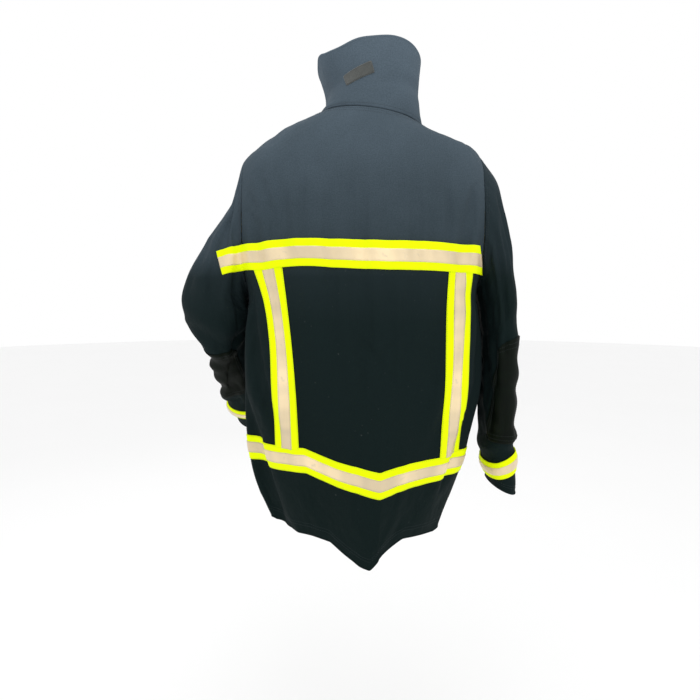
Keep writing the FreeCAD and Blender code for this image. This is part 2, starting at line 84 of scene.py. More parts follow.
# ---- the sleeves: centre, half vector to the outer edge, half vector to the back ----
BENT_ELBOW = np.array((0.322, -0.104, -0.404))
BENT_CUFF = np.array(MOUNTS["left_cuff"]["pos_m"])
BENT_ALONG = (BENT_CUFF - BENT_ELBOW) / np.linalg.norm(BENT_CUFF - BENT_ELBOW)
BENT_SIDE = np.array((0.979, -0.147, -0.143))
BENT_BACK = np.cross(BENT_SIDE, BENT_ALONG)
FANS_BENT = [
    (0.2335, -0.333, 0.2335, -0.080, -0.080, 0.082), (0.242, -0.350, 0.257, -0.128, -0.082, 0.086),
    (0.250, -0.372, 0.309, -0.220, -0.084, 0.087), (0.250, -0.394, 0.372, -0.337, -0.092, 0.080),
]
BENT_FOREARM = [(0.14, 0.057, 0.068), (0.3, 0.055, 0.064), (0.7, 0.049, 0.056), (1.0, 0.046, 0.054)]
FANS_STRAIGHT = [
    (0.2335, -0.333, 0.2335, -0.080, -0.080, 0.082), (0.240, -0.352, 0.268, -0.128, -0.082, 0.086),
    (0.246, -0.378, 0.295, -0.218, -0.084, 0.087), (0.250, -0.412, 0.312, -0.306, -0.086, 0.085),
    (0.252, -0.450, 0.319, -0.400, -0.088, 0.081), (0.252, -0.500, 0.323, -0.500, -0.090, 0.077),
    (0.255, -0.590, 0.326, -0.590, -0.093, 0.070), (0.262, -0.680, 0.330, -0.680, -0.096, 0.063),
    (0.276, -0.748, 0.332, -0.769, -0.098, 0.058),
]


def smooth(t):
    """Eases from 0 to 1."""
    t = np.clip(t, 0.0, 1.0)
    return t * t * (3 - 2 * t)


def bump(t, centre, width):
    """A soft bump of height 1 at centre."""
    return np.exp(-((np.asarray(t) - centre) / width) ** 2)


def spline(table, at):
    """Smooth curve through the rows of a table, its first column being the running value."""
    t = table[:, 0]
    values = table[:, 1:]
    slope = np.gradient(values, t, axis=0)
    at = np.clip(np.asarray(at, float), t[0], t[-1])
    k = np.clip(np.searchsorted(t, at, side="right") - 1, 0, len(t) - 2)
    h = t[k + 1] - t[k]
    s = ((at - t[k]) / h)[..., None]
    h = h[..., None]
    return ((2 * s**3 - 3 * s**2 + 1) * values[k] + (s**3 - 2 * s**2 + s) * h * slope[k]
            + (3 * s**2 - 2 * s**3) * values[k + 1] + (s**3 - s**2) * h * slope[k + 1])


def front_y(z):
    """The coat's leaning front."""
    return FRONT_AT_NECK + FRONT_LEAN * z


def closure_y(z):
    """The flat strip down the front that the zip and the storm flap lie on."""
    return front_y(z) + CLOSURE_SET_BACK


def run_of(points):
    """Running length at each point of a polyline."""
    return np.concatenate([[0], np.cumsum(np.linalg.norm(np.diff(points, axis=0), axis=1))])


def superellipse(angle, power):
    """x and y of a rounded square of half size 1: power 2 is a circle, and more is squarer."""
    c, s = np.cos(angle), np.sin(angle)
    return (np.sign(c) * np.abs(c) ** (2 / power), np.sign(s) * np.abs(s) ** (2 / power))


RING_ANGLES = np.linspace(-math.pi / 2, 1.5 * math.pi, 1601)


def by_quarters(x, y, u):
    """Points of a closed section at u, which gives each quarter of the section the same share."""
    line = np.column_stack([x, y])
    length = run_of(line)
    at = np.interp(u, [0, 0.25, 0.5, 0.75, 1], length[::400])
    return np.column_stack([np.interp(at, length, x), np.interp(at, length, y)])


def torso_ring(z, u):
    """Points of one level section. u is 0 at the front centre, 0.25 left, 0.5 at the back and 0.75 right."""
    half, back, power = spline(FORM, z)
    c, s = superellipse(RING_ANGLES, power)
    x = half * c
    y = SIDE_Y + np.where(s > 0, back - SIDE_Y, SIDE_Y - front_y(z)) * s
    return np.column_stack([by_quarters(x, np.maximum(y, closure_y(z)), u), np.full(len(u), z)])


def drape(P):
    """Hangs a grid of torso points as cloth hangs: armholes flat, hem drawn up at the sides, a ridge."""
    P = P.copy()
    x, y, z = P[..., 0], P[..., 1], P[..., 2]
    behind = smooth((y - SIDE_Y) / 0.07)
    low = smooth((-0.50 - z) / 0.20)
    skirt = smooth((-0.66 - z) / 0.16)
    off = x - RIDGE_X
    side = np.where(off > 0, smooth(off / 0.17), smooth(-off / 0.18))
    rise = np.where(off > 0, 0.036, 0.016) * side * low
    front = smooth((SIDE_Y - y) / 0.12)
    rise = rise * (1 - front * smooth(1 - np.abs(x) / 0.16))
    sharp = np.exp(-np.abs(off) / 0.045)
    prow = behind * low * (0.008 * sharp - 0.030 * smooth(np.abs(off) / 0.14))
    rise = rise + np.where(off < 0, 0.022, 0.0) * smooth(-off / 0.07) * skirt * (1 - front)
    tuck = behind * skirt * (-0.020 * bump(off, 0.085, 0.05) - 0.020 * bump(off, -0.075, 0.045))
    dip = -0.016 * skirt * behind * np.exp(-np.abs(off) / 0.035)
    droop = -0.010 * smooth((x - 0.12) / 0.12) * bump(z, -0.275, 0.09)
    P[..., 0] = x - (0.020 * low + 0.009 * skirt) * smooth((x - 0.08) / 0.1) * behind \
        + (0.024 * low + 0.005 * skirt) * smooth(-x / 0.2)
    P[..., 1] = y + prow + tuck
    P[..., 2] = z + rise * smooth((z + 0.95) / 0.2 + 1) + dip + droop
    rear = smooth((y + 0.15) / 0.08)
    P[..., 0] = P[..., 0] - 0.018 * smooth((z + 0.10) / 0.10) * rear
    P[..., 2] = P[..., 2] + 0.13 * x * smooth((z + 0.07) / 0.07) * rear
    above = z > ARMHOLE_LOW
    P[..., 0] = np.where(above, np.clip(P[..., 0], -ARMHOLE_X, ARMHOLE_X), P[..., 0])
    return P


HEM_LINE = np.array([
    (-0.250, -0.835), (-0.190, -0.843), (-0.151, -0.843), (-0.080, -0.832), (-0.036, -0.860),
    (-0.013, -0.882), (0.004, -0.876), (0.062, -0.840), (0.111, -0.837), (0.161, -0.830),
    (0.182, -0.826), (0.206, -0.800), (0.250, -0.790),
])


def cut_hem(P):
    """Moves the skirt so that its edge follows the hem line, fading out above."""
    P = P.copy()
    edge = P[0]
    behind = smooth((edge[:, 1] - SIDE_Y + 0.03) / 0.06)
    gap = (np.interp(edge[:, 0], HEM_LINE[:, 0], HEM_LINE[:, 1]) - edge[:, 2]) * behind
    P[..., 2] += gap[None, :] * smooth((-0.735 - P[..., 2]) / 0.11)
    return P


def normals(P, closed=False):
    """Unit normals of a grid of points, to the right of increasing rows then columns."""
    if closed:
        du = np.roll(P, -1, 1) - np.roll(P, 1, 1)
    else:
        du = np.gradient(P, axis=1)
    dv = np.gradient(P, axis=0)
    n = np.cross(du, dv)
    return n / np.maximum(np.linalg.norm(n, axis=-1, keepdims=True), 1e-12)


def fan_rows(fans):
    """Sections from the inner and outer edges' x and z, the middle's y and the half depth."""
    rows = []
    for inner_x, inner_z, outer_x, outer_z, y, depth in fans:
        rows.append(((inner_x + outer_x) / 2, y, (inner_z + outer_z) / 2,
                     (outer_x - inner_x) / 2, 0, (outer_z - inner_z) / 2, 0, depth, 0))
    return rows


def sleeve_rows(side):
    """Table of the sleeve's sections against the running length of its middle line."""
    if side == "right":
        rows = fan_rows(FANS_STRAIGHT)
    else:
        rows = fan_rows(FANS_BENT)
        along = np.array((0.13, -0.455, -0.88))
        inward = np.array((-0.010, 0.0, 0.0))
        rows.append((*(BENT_ELBOW + along * 0.012 + inward), *(np.array((0.990, 0.060, 0.117)) * 0.060),
                     *(np.array((0.0, 0.889, -0.458)) * 0.072)))
        for share, wide, deep in BENT_FOREARM:
            centre = BENT_ELBOW + (BENT_CUFF - BENT_ELBOW) * share + inward * (1 - share)
            rows.append((*centre, *(BENT_SIDE * wide), *(BENT_BACK * deep)))
    rows = np.array(rows)
    run = run_of(rows[:, :3])
    return np.column_stack([run, rows])


SLEEVES = {"left": sleeve_rows("left"), "right": sleeve_rows("right")}


def sleeve_ring(side, run, angle):
    """Points of one section of a sleeve. angle 0 is the outer edge, a quarter turn is the back."""
    row = spline(SLEEVES[side], run)
    c, s = superellipse(angle, 2.15)
    P = row[0:3] + row[3:6] * c[:, None] + row[6:9] * s[:, None]
    if side == "right":
        P = P * (-1, 1, 1)
    return P


# ---- meshes ----
def uv_of(u, v):
    """One UV pair for each point of a grid."""
    return np.stack(np.broadcast_arrays(u, v), -1)


class Surface:
    """A grid of points over u along columns and v along rows, sampled anywhere between."""

    def __init__(self, P, u, v, closed=False, flip=1.0):
        self.P, self.u, self.v = P, np.asarray(u), np.asarray(v)
        if closed:
            ring = normals(P[:, :-1], True)
            self.N = np.concatenate([ring, ring[:, :1]], 1) * flip
        else:
            self.N = normals(P) * flip

    def at(self, u, v, out=0.0):
        """Points at u and v, lifted out along the surface's own way out."""
        u, v = np.broadcast_arrays(np.asarray(u, float), np.asarray(v, float))
        fu = np.interp(u, self.u, np.arange(len(self.u)))
        fv = np.interp(v, self.v, np.arange(len(self.v)))
        i = np.clip(np.floor(fu).astype(int), 0, len(self.u) - 2)
        j = np.clip(np.floor(fv).astype(int), 0, len(self.v) - 2)
        a, b = (fu - i)[..., None], (fv - j)[..., None]

        def mix(G):
            return ((G[j, i] * (1 - a) + G[j, i + 1] * a) * (1 - b)
                    + (G[j + 1, i] * (1 - a) + G[j + 1, i + 1] * a) * b)
        n = mix(self.N)
        n = n / np.maximum(np.linalg.norm(n, axis=-1, keepdims=True), 1e-9)
        return mix(self.P) + n * np.asarray(out)[..., None]


def make_object(name, points, faces, uv=None, material=None, flat=False):
    """A mesh object from points and faces, with UVs and a material."""
    mesh = bpy.data.meshes.new(name)
    mesh.from_pydata([tuple(p) for p in points], [], [tuple(int(i) for i in f) for f in faces])
    if uv is not None:
        layer = mesh.uv_layers.new(name="UVMap")
        index = np.zeros(len(mesh.loops), int)
        mesh.loops.foreach_get("vertex_index", index)
        layer.data.foreach_set("uv", np.asarray(uv, np.float32)[index].ravel())
    mesh.polygons.foreach_set("use_smooth", [not flat] * len(mesh.polygons))
    mesh.update()
    obj = bpy.data.objects.new(name, mesh)
    bpy.context.scene.collection.objects.link(obj)
    if material is not None:
        mesh.materials.append(material)
    return obj


def grid_faces(rows, cols, closed=False, keep=None):
    """Squares between the points of a grid."""
    j, i = np.meshgrid(np.arange(rows - 1), np.arange(cols if closed else cols - 1), indexing="ij")
    k = (i + 1) % cols
    f = np.stack([j * cols + i, j * cols + k, (j + 1) * cols + k, (j + 1) * cols + i], -1)
    f = f.reshape(-1, 4)
    return f if keep is None else f[keep.ravel()]


def sheet(name, P, thick, material, flip=False, closed=False, keep=None, uv=None, soft=True):
    """A grid of outer points made into cloth of some thickness, with its edges closed."""
    rows, cols = P.shape[:2]
    n = normals(P, closed) * (-1 if flip else 1)
    inner = P - n * thick
    if soft:
        outer = P.copy()
        every = slice(None)
        for edge in ((0, every), (-1, every)) + (() if closed else ((every, 0), (every, -1))):
            outer[edge] = P[edge] - n[edge] * thick * 0.35
    else:
        outer = P
    f = grid_faces(rows, cols, closed, keep)
    count = rows * cols
    g = f[:, ::-1] + count
    if flip:
        f, g = f[:, ::-1], g[:, ::-1]
    e = np.concatenate([f[:, [0, 1]], f[:, [1, 2]], f[:, [2, 3]], f[:, [3, 0]]])
    key = np.minimum(e[:, 0], e[:, 1]) * count + np.maximum(e[:, 0], e[:, 1])
    _, first, times = np.unique(key, return_index=True, return_counts=True)
    rim = e[first[times == 1]]
    walls = np.stack([rim[:, 1], rim[:, 0], rim[:, 0] + count, rim[:, 1] + count], -1)
    if uv is None:
        along = np.pad(np.cumsum(np.linalg.norm(np.diff(P, axis=1), axis=-1), axis=1), ((0, 0), (1, 0)))
        down = np.pad(np.cumsum(np.linalg.norm(np.diff(P, axis=0), axis=-1), axis=0), ((1, 0), (0, 0)))
        uv = uv_of(along, down)
    uv = uv.reshape(-1, 2)
    faces = np.concatenate([f, g, walls])
    points = np.concatenate([outer.reshape(-1, 3), inner.reshape(-1, 3)])
    obj = make_object(name, points, faces, np.concatenate([uv, uv]), material)
    used = np.zeros(2 * count, bool)
    used[faces.ravel()] = True
    if not used.all():
        bm = bmesh.new()
        bm.from_mesh(obj.data)
        bm.verts.ensure_lookup_table()
        bmesh.ops.delete(bm, geom=[bm.verts[int(k)] for k in np.flatnonzero(~used)], context="VERTS")
        bm.to_mesh(obj.data)
        bm.free()
    return obj


def strand(name, lines, radius, material, sides=6):
    """Round cord along each polyline of points."""
    points, faces = [], []
    for line in lines:
        line = np.asarray(line, float)
        t = np.gradient(line, axis=0)
        t /= np.maximum(np.linalg.norm(t, axis=1, keepdims=True), 1e-9)
        ref = np.array((0.31, 0.27, 0.91))
        a = np.cross(t, ref)
        a /= np.maximum(np.linalg.norm(a, axis=1, keepdims=True), 1e-9)
        b = np.cross(t, a)
        base = len(points)
        ang = 2 * np.pi * np.arange(sides) / sides
        for k in range(len(line)):
            ring = line[k] + radius * (np.cos(ang)[:, None] * a[k] + np.sin(ang)[:, None] * b[k])
            points.extend(ring)
        for k in range(len(line) - 1):
            for m in range(sides):
                n = (m + 1) % sides
                faces.append((base + k * sides + m, base + k * sides + n,
                              base + (k + 1) * sides + n, base + (k + 1) * sides + m))
        faces.append(tuple(base + m for m in range(sides))[::-1])
        faces.append(tuple(base + (len(line) - 1) * sides + m for m in range(sides)))
    return make_object(name, points, faces, None, material)


def stitches(name, paths, material, pitch=0.0045, length=0.0031, width=0.0009, high=0.0006):
    """Rows of thread along paths. Each path is (points, normals)."""
    points, faces = [], []
    for line, normal in paths:
        line, normal = np.asarray(line, float), np.asarray(normal, float)
        run = run_of(line)
        for s in np.arange(pitch / 2, run[-1] - length / 2, pitch):
            places = (s - length / 2, s, s + length / 2)
            ends = np.array([[np.interp(q, run, column) for column in line.T] for q in places])
            n = np.array([np.interp(s, run, column) for column in normal.T])
            n /= max(np.linalg.norm(n), 1e-9)
            side = np.cross(n, ends[2] - ends[0])
            side = side / max(np.linalg.norm(side), 1e-9) * width / 2
            base = len(points)
            points.extend([ends[0] - n * 0.0003, ends[1] + side - n * 0.0002, ends[2] - n * 0.0003,
                           ends[1] - side - n * 0.0002, ends[1] + n * high])
            faces.extend([(base, base + 1, base + 4), (base + 1, base + 2, base + 4),
                          (base + 2, base + 3, base + 4), (base + 3, base, base + 4),
                          (base + 3, base + 2, base + 1, base)])
    return make_object(name, points, faces, None, material)


# ---- materials ----
class Nodes:
    """A small wrapper for building one material's node tree."""

    def __init__(self, name):
        self.material = bpy.data.materials.new(name)
        self.material.use_nodes = True
        self.tree = self.material.node_tree
        self.surface = self.tree.nodes["Principled BSDF"]
        self.uv = self.add("ShaderNodeTexCoord").outputs["UV"]

    def add(self, kind, **settings):
        """A new node with its settings."""
        node = self.tree.nodes.new(kind)
        for key, value in settings.items():
            setattr(node, key, value)
        return node

    def put(self, socket, value):
        """Links a socket to an input, or sets the input's value."""
        if isinstance(value, bpy.types.NodeSocket):
            self.tree.links.new(value, socket)
        else:
            socket.default_value = value

    def surface_of(self, **values):
        """Sets inputs of the surface, named with _ for each space."""
        for name, value in values.items():
            self.put(self.surface.inputs[name.replace("_", " ")], value)

    def math(self, operation, a, b=0.0, c=None):
        """A math node's output."""
        node = self.add("ShaderNodeMath", operation=operation)
        self.put(node.inputs[0], a)
        self.put(node.inputs[1], b)
        if c is not None:
            self.put(node.inputs[2], c)
        return node.outputs[0]

    def noise(self, scale, detail=3.0, rough=0.55, vector=None, stretch=None):
        """Noise over the UVs or another vector, stretched where asked."""
        node = self.add("ShaderNodeTexNoise")
        source = self.uv if vector is None else vector
        if stretch:
            shift = self.add("ShaderNodeMapping")
            self.put(shift.inputs["Vector"], source)
            self.put(shift.inputs["Scale"], stretch)
            source = shift.outputs[0]
        self.put(node.inputs["Vector"], source)
        self.put(node.inputs["Scale"], scale)
        self.put(node.inputs["Detail"], detail)
        self.put(node.inputs["Roughness"], rough)
        return node.outputs["Fac"]

    def twill(self, period, slant=(1.0, 1.0)):
        """Fine diagonal ribs of a twill, 0 to 1, period in metres."""
        split = self.add("ShaderNodeSeparateXYZ")
        self.put(split.inputs[0], self.uv)
        across = self.math("MULTIPLY", split.outputs[0], slant[0] * TURN / period)
        along = self.math("MULTIPLY", split.outputs[1], slant[1] * TURN / period)
        rib = self.math("SINE", self.math("ADD", across, along))
        cross = self.math("SINE", self.math("SUBTRACT", across, self.math("MULTIPLY", along, 0.5)))
        both = self.math("ADD", rib, self.math("MULTIPLY", cross, 0.35))
        return self.math("MULTIPLY_ADD", both, 0.37, 0.5)

    def mix(self, share, a, b):
        """Colour a going over to b by a share."""
        node = self.add("ShaderNodeMix", data_type="RGBA")
        self.put(node.inputs["Factor"], share)
        self.put(node.inputs["A"], a)
        self.put(node.inputs["B"], b)
        return node.outputs["Result"]

    def ramp(self, value, low, high):
        """0 to 1 as a value goes from low to high."""
        node = self.add("ShaderNodeMapRange")
        self.put(node.inputs["Value"], value)
        self.put(node.inputs["From Min"], low)
        self.put(node.inputs["From Max"], high)
        return node.outputs["Result"]

    def bump(self, layers):
        """Bumps stacked on each other: (height, strength, depth in metres)."""
        normal = None
        for height, strength, depth in layers:
            node = self.add("ShaderNodeBump")
            self.put(node.inputs["Height"], height)
            self.put(node.inputs["Strength"], strength)
            self.put(node.inputs["Distance"], depth)
            if normal is not None:
                self.put(node.inputs["Normal"], normal)
            normal = node.outputs["Normal"]
        self.put(self.surface.inputs["Normal"], normal)


def rgba(colour, scale=1.0, lift=0.0):
    """A colour with alpha, scaled and lifted."""
    return (*(c * scale + lift for c in colour), 1.0)


def shell_cloth(name, dark, faded_and_lit, patchy=0.22, rough=0.82, crumple=0.6):
    """Aramid twill: near-black navy, going blue-grey towards the top; the blue-grey is partly sun and wash
    fading and partly painted light from above.
    """
    n = Nodes(name)
    # share of blue-grey per point, higher towards the top: sun fading together with painted light from above
    fade_and_top_light = n.add("ShaderNodeAttribute", attribute_name="fade_and_top_light").outputs["Fac"]
    mottle = n.noise(9.0, 4.0)
    fine = n.noise(420.0, 2.0)
    share = n.math("MULTIPLY", fade_and_top_light, n.math("MULTIPLY_ADD", mottle, patchy * 2, 1 - patchy))
    colour = n.mix(share, rgba(dark), rgba(faded_and_lit))
    colour = n.mix(n.math("MULTIPLY", n.ramp(fine, 0.35, 0.75), 0.35), colour,
                   rgba(dark, 3.0, 0.003))
    lint = n.noise(150.0, 1.0, 0.4)
    colour = n.mix(n.math("MULTIPLY", n.ramp(lint, 0.76, 0.82), 0.25), colour, rgba((0.10, 0.11, 0.11)))
    n.surface_of(Base_Color=colour,
           Roughness=n.math("MULTIPLY_ADD", mottle, 0.16, rough - 0.08),
           Specular_IOR_Level=0.07,
           Sheen_Weight=0.015,
           Sheen_Roughness=0.45,
           Sheen_Tint=rgba((0.55, 0.65, 0.75)))
    crease = n.noise(34.0, 3.0, 0.5, stretch=(1.0, 0.55, 1.0))
    n.bump([(n.noise(11.0, 3.0, 0.5), crumple, 0.016), (crease, crumple * 0.9, 0.005),
            (n.twill(0.0016), 0.35, 0.0004), (fine, 0.3, 0.0004)])
    return n.material


def tape_cloth(name, colour, shade, glow=0.0, rough=0.6, period=0.0012, dirt=0.25):
    """Fluorescent tape, dulled in patches, with a painted glow."""
    n = Nodes(name)
    dirty = n.noise(14.0, 4.0, 0.6)
    grain = n.noise(700.0, 2.0)
    base = n.mix(n.math("MULTIPLY", n.ramp(dirty, 0.45, 0.75), dirt), rgba(colour), rgba(shade))
    base = n.mix(n.math("MULTIPLY", grain, 0.18), base, rgba(colour, 0.72))
    n.surface_of(Base_Color=base, Roughness=rough, Specular_IOR_Level=0.06)
    # painted glow: the tape emits light in its own colour, standing in for fluorescence
    if glow:
        n.put(n.surface.inputs["Emission Color"], rgba(colour))
        n.put(n.surface.inputs["Emission Strength"], glow)
    crease = n.noise(26.0, 3.0, 0.5, stretch=(1.0, 0.3, 1.0))
    n.bump([(crease, 0.45, 0.004), (n.twill(period, (1.0, 0.0)), 0.3, 0.0003), (grain, 0.25, 0.0003)])
    return n.material


def silver_cloth():
    """Glass-bead film: warm and bright, with painted shade as soft dark bands across the tape where it
    creases.
    """
    n = Nodes("silver_bead_film")
    crease = n.noise(7.0, 3.0, 0.6, stretch=(1.0, 0.12, 1.0))
    beads = n.add("ShaderNodeTexVoronoi")
    n.put(beads.inputs["Vector"], n.uv)
    n.put(beads.inputs["Scale"], 900.0)
    # painted shade: the crease noise darkens the film in soft bands across the tape
    colour = n.mix(n.ramp(crease, 0.30, 0.62), rgba((0.50, 0.42, 0.29)), rgba((0.95, 0.76, 0.47)))
    wear = n.noise(60.0, 4.0, 0.65)
    colour = n.mix(n.math("MULTIPLY", n.ramp(wear, 0.60, 0.72), 0.45), colour, rgba((0.52, 0.47, 0.37)))
    n.surface_of(Base_Color=colour, Roughness=0.42, Metallic=0.15, Coat_Weight=0.12)
    n.bump([(crease, 0.5, 0.004), (beads.outputs["Distance"], 0.3, 0.0004)])
    return n.material


def pile_cloth(name, colour):
    """Hook-and-loop pile."""
    n = Nodes(name)
    tuft = n.noise(1100.0, 3.0, 0.8)
    patch = n.noise(90.0, 2.0)
    colour_out = n.mix(n.ramp(tuft, 0.3, 0.75), rgba(colour, 0.55), rgba(colour, 1.7))
    colour_out = n.mix(n.math("MULTIPLY", patch, 0.3), colour_out, rgba((0.20, 0.20, 0.18)))
    n.surface_of(Base_Color=colour_out, Roughness=0.95, Sheen_Weight=0.35)
    n.bump([(tuft, 0.8, 0.001)])
    return n.material


def web_cloth(name, colour, rib=0.0018):
    """Ribbed webbing, tape or thread, with painted highlight on the tops of the ribs."""
    n = Nodes(name)
    ribs = n.twill(rib, (0.0, 1.0))
    # painted highlight: rib tops lighter, following the same ribs as the bump
    base = n.mix(n.math("MULTIPLY", ribs, 0.5), rgba(colour), rgba(colour, 1.8, 0.004))
    n.surface_of(Base_Color=n.mix(n.math("MULTIPLY", n.noise(40.0), 0.25), base, rgba((0.09, 0.09, 0.08))),
           Roughness=0.78)
    n.bump([(ribs, 0.6, 0.0006), (n.noise(500.0), 0.3, 0.0004)])
    return n.material


def quilt_cloth(name, colour):
    """Quilted face cloth: padded diamonds between lines of stitching, with painted shade darkening the
    stitched valleys.
    """
    n = Nodes(name)
    split = n.add("ShaderNodeSeparateXYZ")
    n.put(split.inputs[0], n.uv)
    pitch = TURN / 0.07
    slants = [n.math(way, split.outputs[0], split.outputs[1]) for way in ("ADD", "SUBTRACT")]
    waves = [n.math("ABSOLUTE", n.math("SINE", n.math("MULTIPLY", slant, pitch / 2))) for slant in slants]
    puff = n.math("POWER", n.math("MULTIPLY", *waves), 0.35)
    # painted shade: colour darkens where the padding sinks to the stitching
    seam = n.ramp(puff, 0.25, 0.5)
    base = n.mix(seam, rgba(colour, 0.45), rgba(colour))
    base = n.mix(n.math("MULTIPLY", n.noise(18.0, 4.0), 0.3), base, rgba(colour, 0.7))
    n.surface_of(Base_Color=base, Roughness=0.85)
    n.bump([(puff, 0.8, 0.006), (n.noise(60.0, 3.0), 0.4, 0.003), (n.twill(0.0014), 0.3, 0.0004)])
    return n.material


def knit_cloth(name, colour):
    """Ribbed knit, with painted shade between the ribs and painted highlight on their tops."""
    n = Nodes(name)
    rib = n.twill(0.0042, (1.0, 0.0))
    loop = n.twill(0.0024, (0.0, 1.0))
    # painted shade in the rib valleys and painted highlight on the rib tops
    base = n.mix(rib, rgba(colour, 0.5), rgba(colour, 1.4))
    n.surface_of(Base_Color=base, Roughness=0.9, Sheen_Weight=0.3)
    n.bump([(rib, 0.9, 0.0018), (loop, 0.5, 0.0007), (n.noise(300.0), 0.3, 0.0005)])
    return n.material


def hide_cloth(name, dark, light):
    """Scuffed leather."""
    n = Nodes(name)
    grain = n.add("ShaderNodeTexVoronoi")
    n.put(grain.inputs["Vector"], n.uv)
    n.put(grain.inputs["Scale"], 420.0)
    scuff = n.noise(30.0, 5.0, 0.65)
    n.surface_of(Base_Color=n.mix(n.ramp(scuff, 0.4, 0.75), rgba(dark), rgba(light)),
           Roughness=n.math("MULTIPLY_ADD", scuff, 0.3, 0.50),
           Specular_IOR_Level=0.11)
    n.bump([(n.noise(12.0, 3.0), 0.5, 0.006), (grain.outputs["Distance"], 0.4, 0.0006), (scuff, 0.4, 0.001)])
    return n.material


def metal(name, colour, rough, worn):
    """Plated or brass hardware, dulled in patches, with fine scratches."""
    n = Nodes(name)
    place = n.add("ShaderNodeTexCoord").outputs["Object"]
    tarnish = n.noise(160.0, 4.0, 0.6, place)
    scratch = n.noise(900.0, 2.0, 0.5, place, (1.0, 1.0, 0.08))
    n.surface_of(Base_Color=n.mix(n.ramp(tarnish, 0.42, 0.68), rgba(colour), rgba(worn)),
           Metallic=1.0,
           Roughness=n.math("MULTIPLY_ADD", tarnish, 0.30, rough))
    n.bump([(tarnish, 0.25, 0.0004), (scratch, 0.25, 0.0002)])
    return n.material


def plain_stage(name, colour, rough):
    """The floor's plain finish."""
    n = Nodes(name)
    place = n.add("ShaderNodeTexCoord").outputs["Object"]
    base = n.mix(n.noise(1.5, 2.0, 0.5, place), rgba(colour), rgba(colour, 0.985))
    n.surface_of(Base_Color=base, Roughness=rough)
    return n.material


# navy shell: near-black below, blue-grey above, the blue-grey partly faded cloth and partly painted light
# from above
NAVY = shell_cloth("navy_twill", (0.0016, 0.0062, 0.0055), (0.105, 0.141, 0.178))
LIME = tape_cloth("lime_fluorescent", (0.74, 0.88, 0.001), (0.52, 0.64, 0.004), glow=0.22)
SILVER = silver_cloth()
PILE = pile_cloth("loop_pile", (0.046, 0.052, 0.050))
HOOKS = pile_cloth("hook_tape", (0.018, 0.020, 0.022))
WEBBING = web_cloth("black_webbing", (0.014, 0.016, 0.018))
ZIP_TAPE = web_cloth("zip_tape", (0.010, 0.013, 0.018), 0.0011)
QUILT = quilt_cloth("quilted_liner", (0.42, 0.38, 0.20))
BARRIER = quilt_cloth("barrier_film", (0.50, 0.50, 0.47))
KNIT = knit_cloth("rib_knit", (0.035, 0.037, 0.036))
HIDE = hide_cloth("elbow_hide", (0.0005, 0.0024, 0.0008), (0.0024, 0.0062, 0.0028))
THREAD = web_cloth("thread", (0.030, 0.040, 0.048), 0.0006)
LIME_THREAD = web_cloth("lime_thread", (0.45, 0.52, 0.02), 0.0006)
SILVER_THREAD = web_cloth("silver_thread", (0.42, 0.40, 0.35), 0.0006)
BRASS = metal("worn_brass", (0.62, 0.45, 0.18), 0.28, (0.30, 0.22, 0.10))
STEEL = metal("nickel_steel", (0.68, 0.68, 0.67), 0.22, (0.40, 0.40, 0.39))


# ---- cloth ----
CLOTH_SETTINGS = {
    "vertex_group_mass": "hold", "quality": 5, "mass": 0.35, "tension_stiffness": 18,
    "compression_stiffness": 18, "shear_stiffness": 6, "bending_stiffness": 1.2, "pin_stiffness": 1.0,
    "shrink_min": -0.018,
}
CLOTH_FRAMES = 16
CLOTH_REACH = 0.006       # the most that the simulation may move any point
BROAD_PASSES = 24         # blurs that leave only the simulation's broad movement, which is taken off


def spread(grid, axis, wrap):
    """Blurs a grid once along one axis."""
    if wrap:
        return (grid * 2 + np.roll(grid, 1, axis) + np.roll(grid, -1, axis)) / 4
    last = grid.shape[axis] - 1
    index = np.arange(last + 1)
    before, after = np.maximum(index - 1, 0), np.minimum(index + 1, last)
    return (grid * 2 + grid.take(before, axis) + grid.take(after, axis)) / 4


def settle(name, P, hold, closed=False):
    """Lets a coarse grid of cloth hang from its held points, and returns the wrinkles as shifts."""
    rows, cols = P.shape[:2]
    obj = make_object(name, P.reshape(-1, 3), grid_faces(rows, cols, closed))
    group = obj.vertex_groups.new(name="hold")
    flat = np.round(hold.ravel(), 3)
    for weight in np.unique(flat):
        group.add([int(k) for k in np.flatnonzero(flat == weight)], float(weight), "REPLACE")
    cloth = obj.modifiers.new("cloth", "CLOTH")
    for key, value in CLOTH_SETTINGS.items():
        setattr(cloth.settings, key, value)
    cloth.collision_settings.use_collision = False
    cloth.point_cache.frame_start = 1
    cloth.point_cache.frame_end = CLOTH_FRAMES
    scene = bpy.context.scene
    for frame_number in range(1, CLOTH_FRAMES + 1):
        scene.frame_set(frame_number)
    shape = obj.evaluated_get(bpy.context.evaluated_depsgraph_get())
    moved = np.zeros(len(obj.data.vertices) * 3)
    shape.data.vertices.foreach_get("co", moved)
    scene.frame_set(1)
    bpy.data.objects.remove(obj)
    shift = moved.reshape(rows, cols, 3) - P
    broad = shift
    for _ in range(BROAD_PASSES):
        broad = spread(spread(broad, 1, closed), 0, False)
    shift = shift - broad
    size = np.linalg.norm(shift, axis=-1, keepdims=True)
    return shift * np.minimum(1.0, CLOTH_REACH / np.maximum(size, 1e-9))


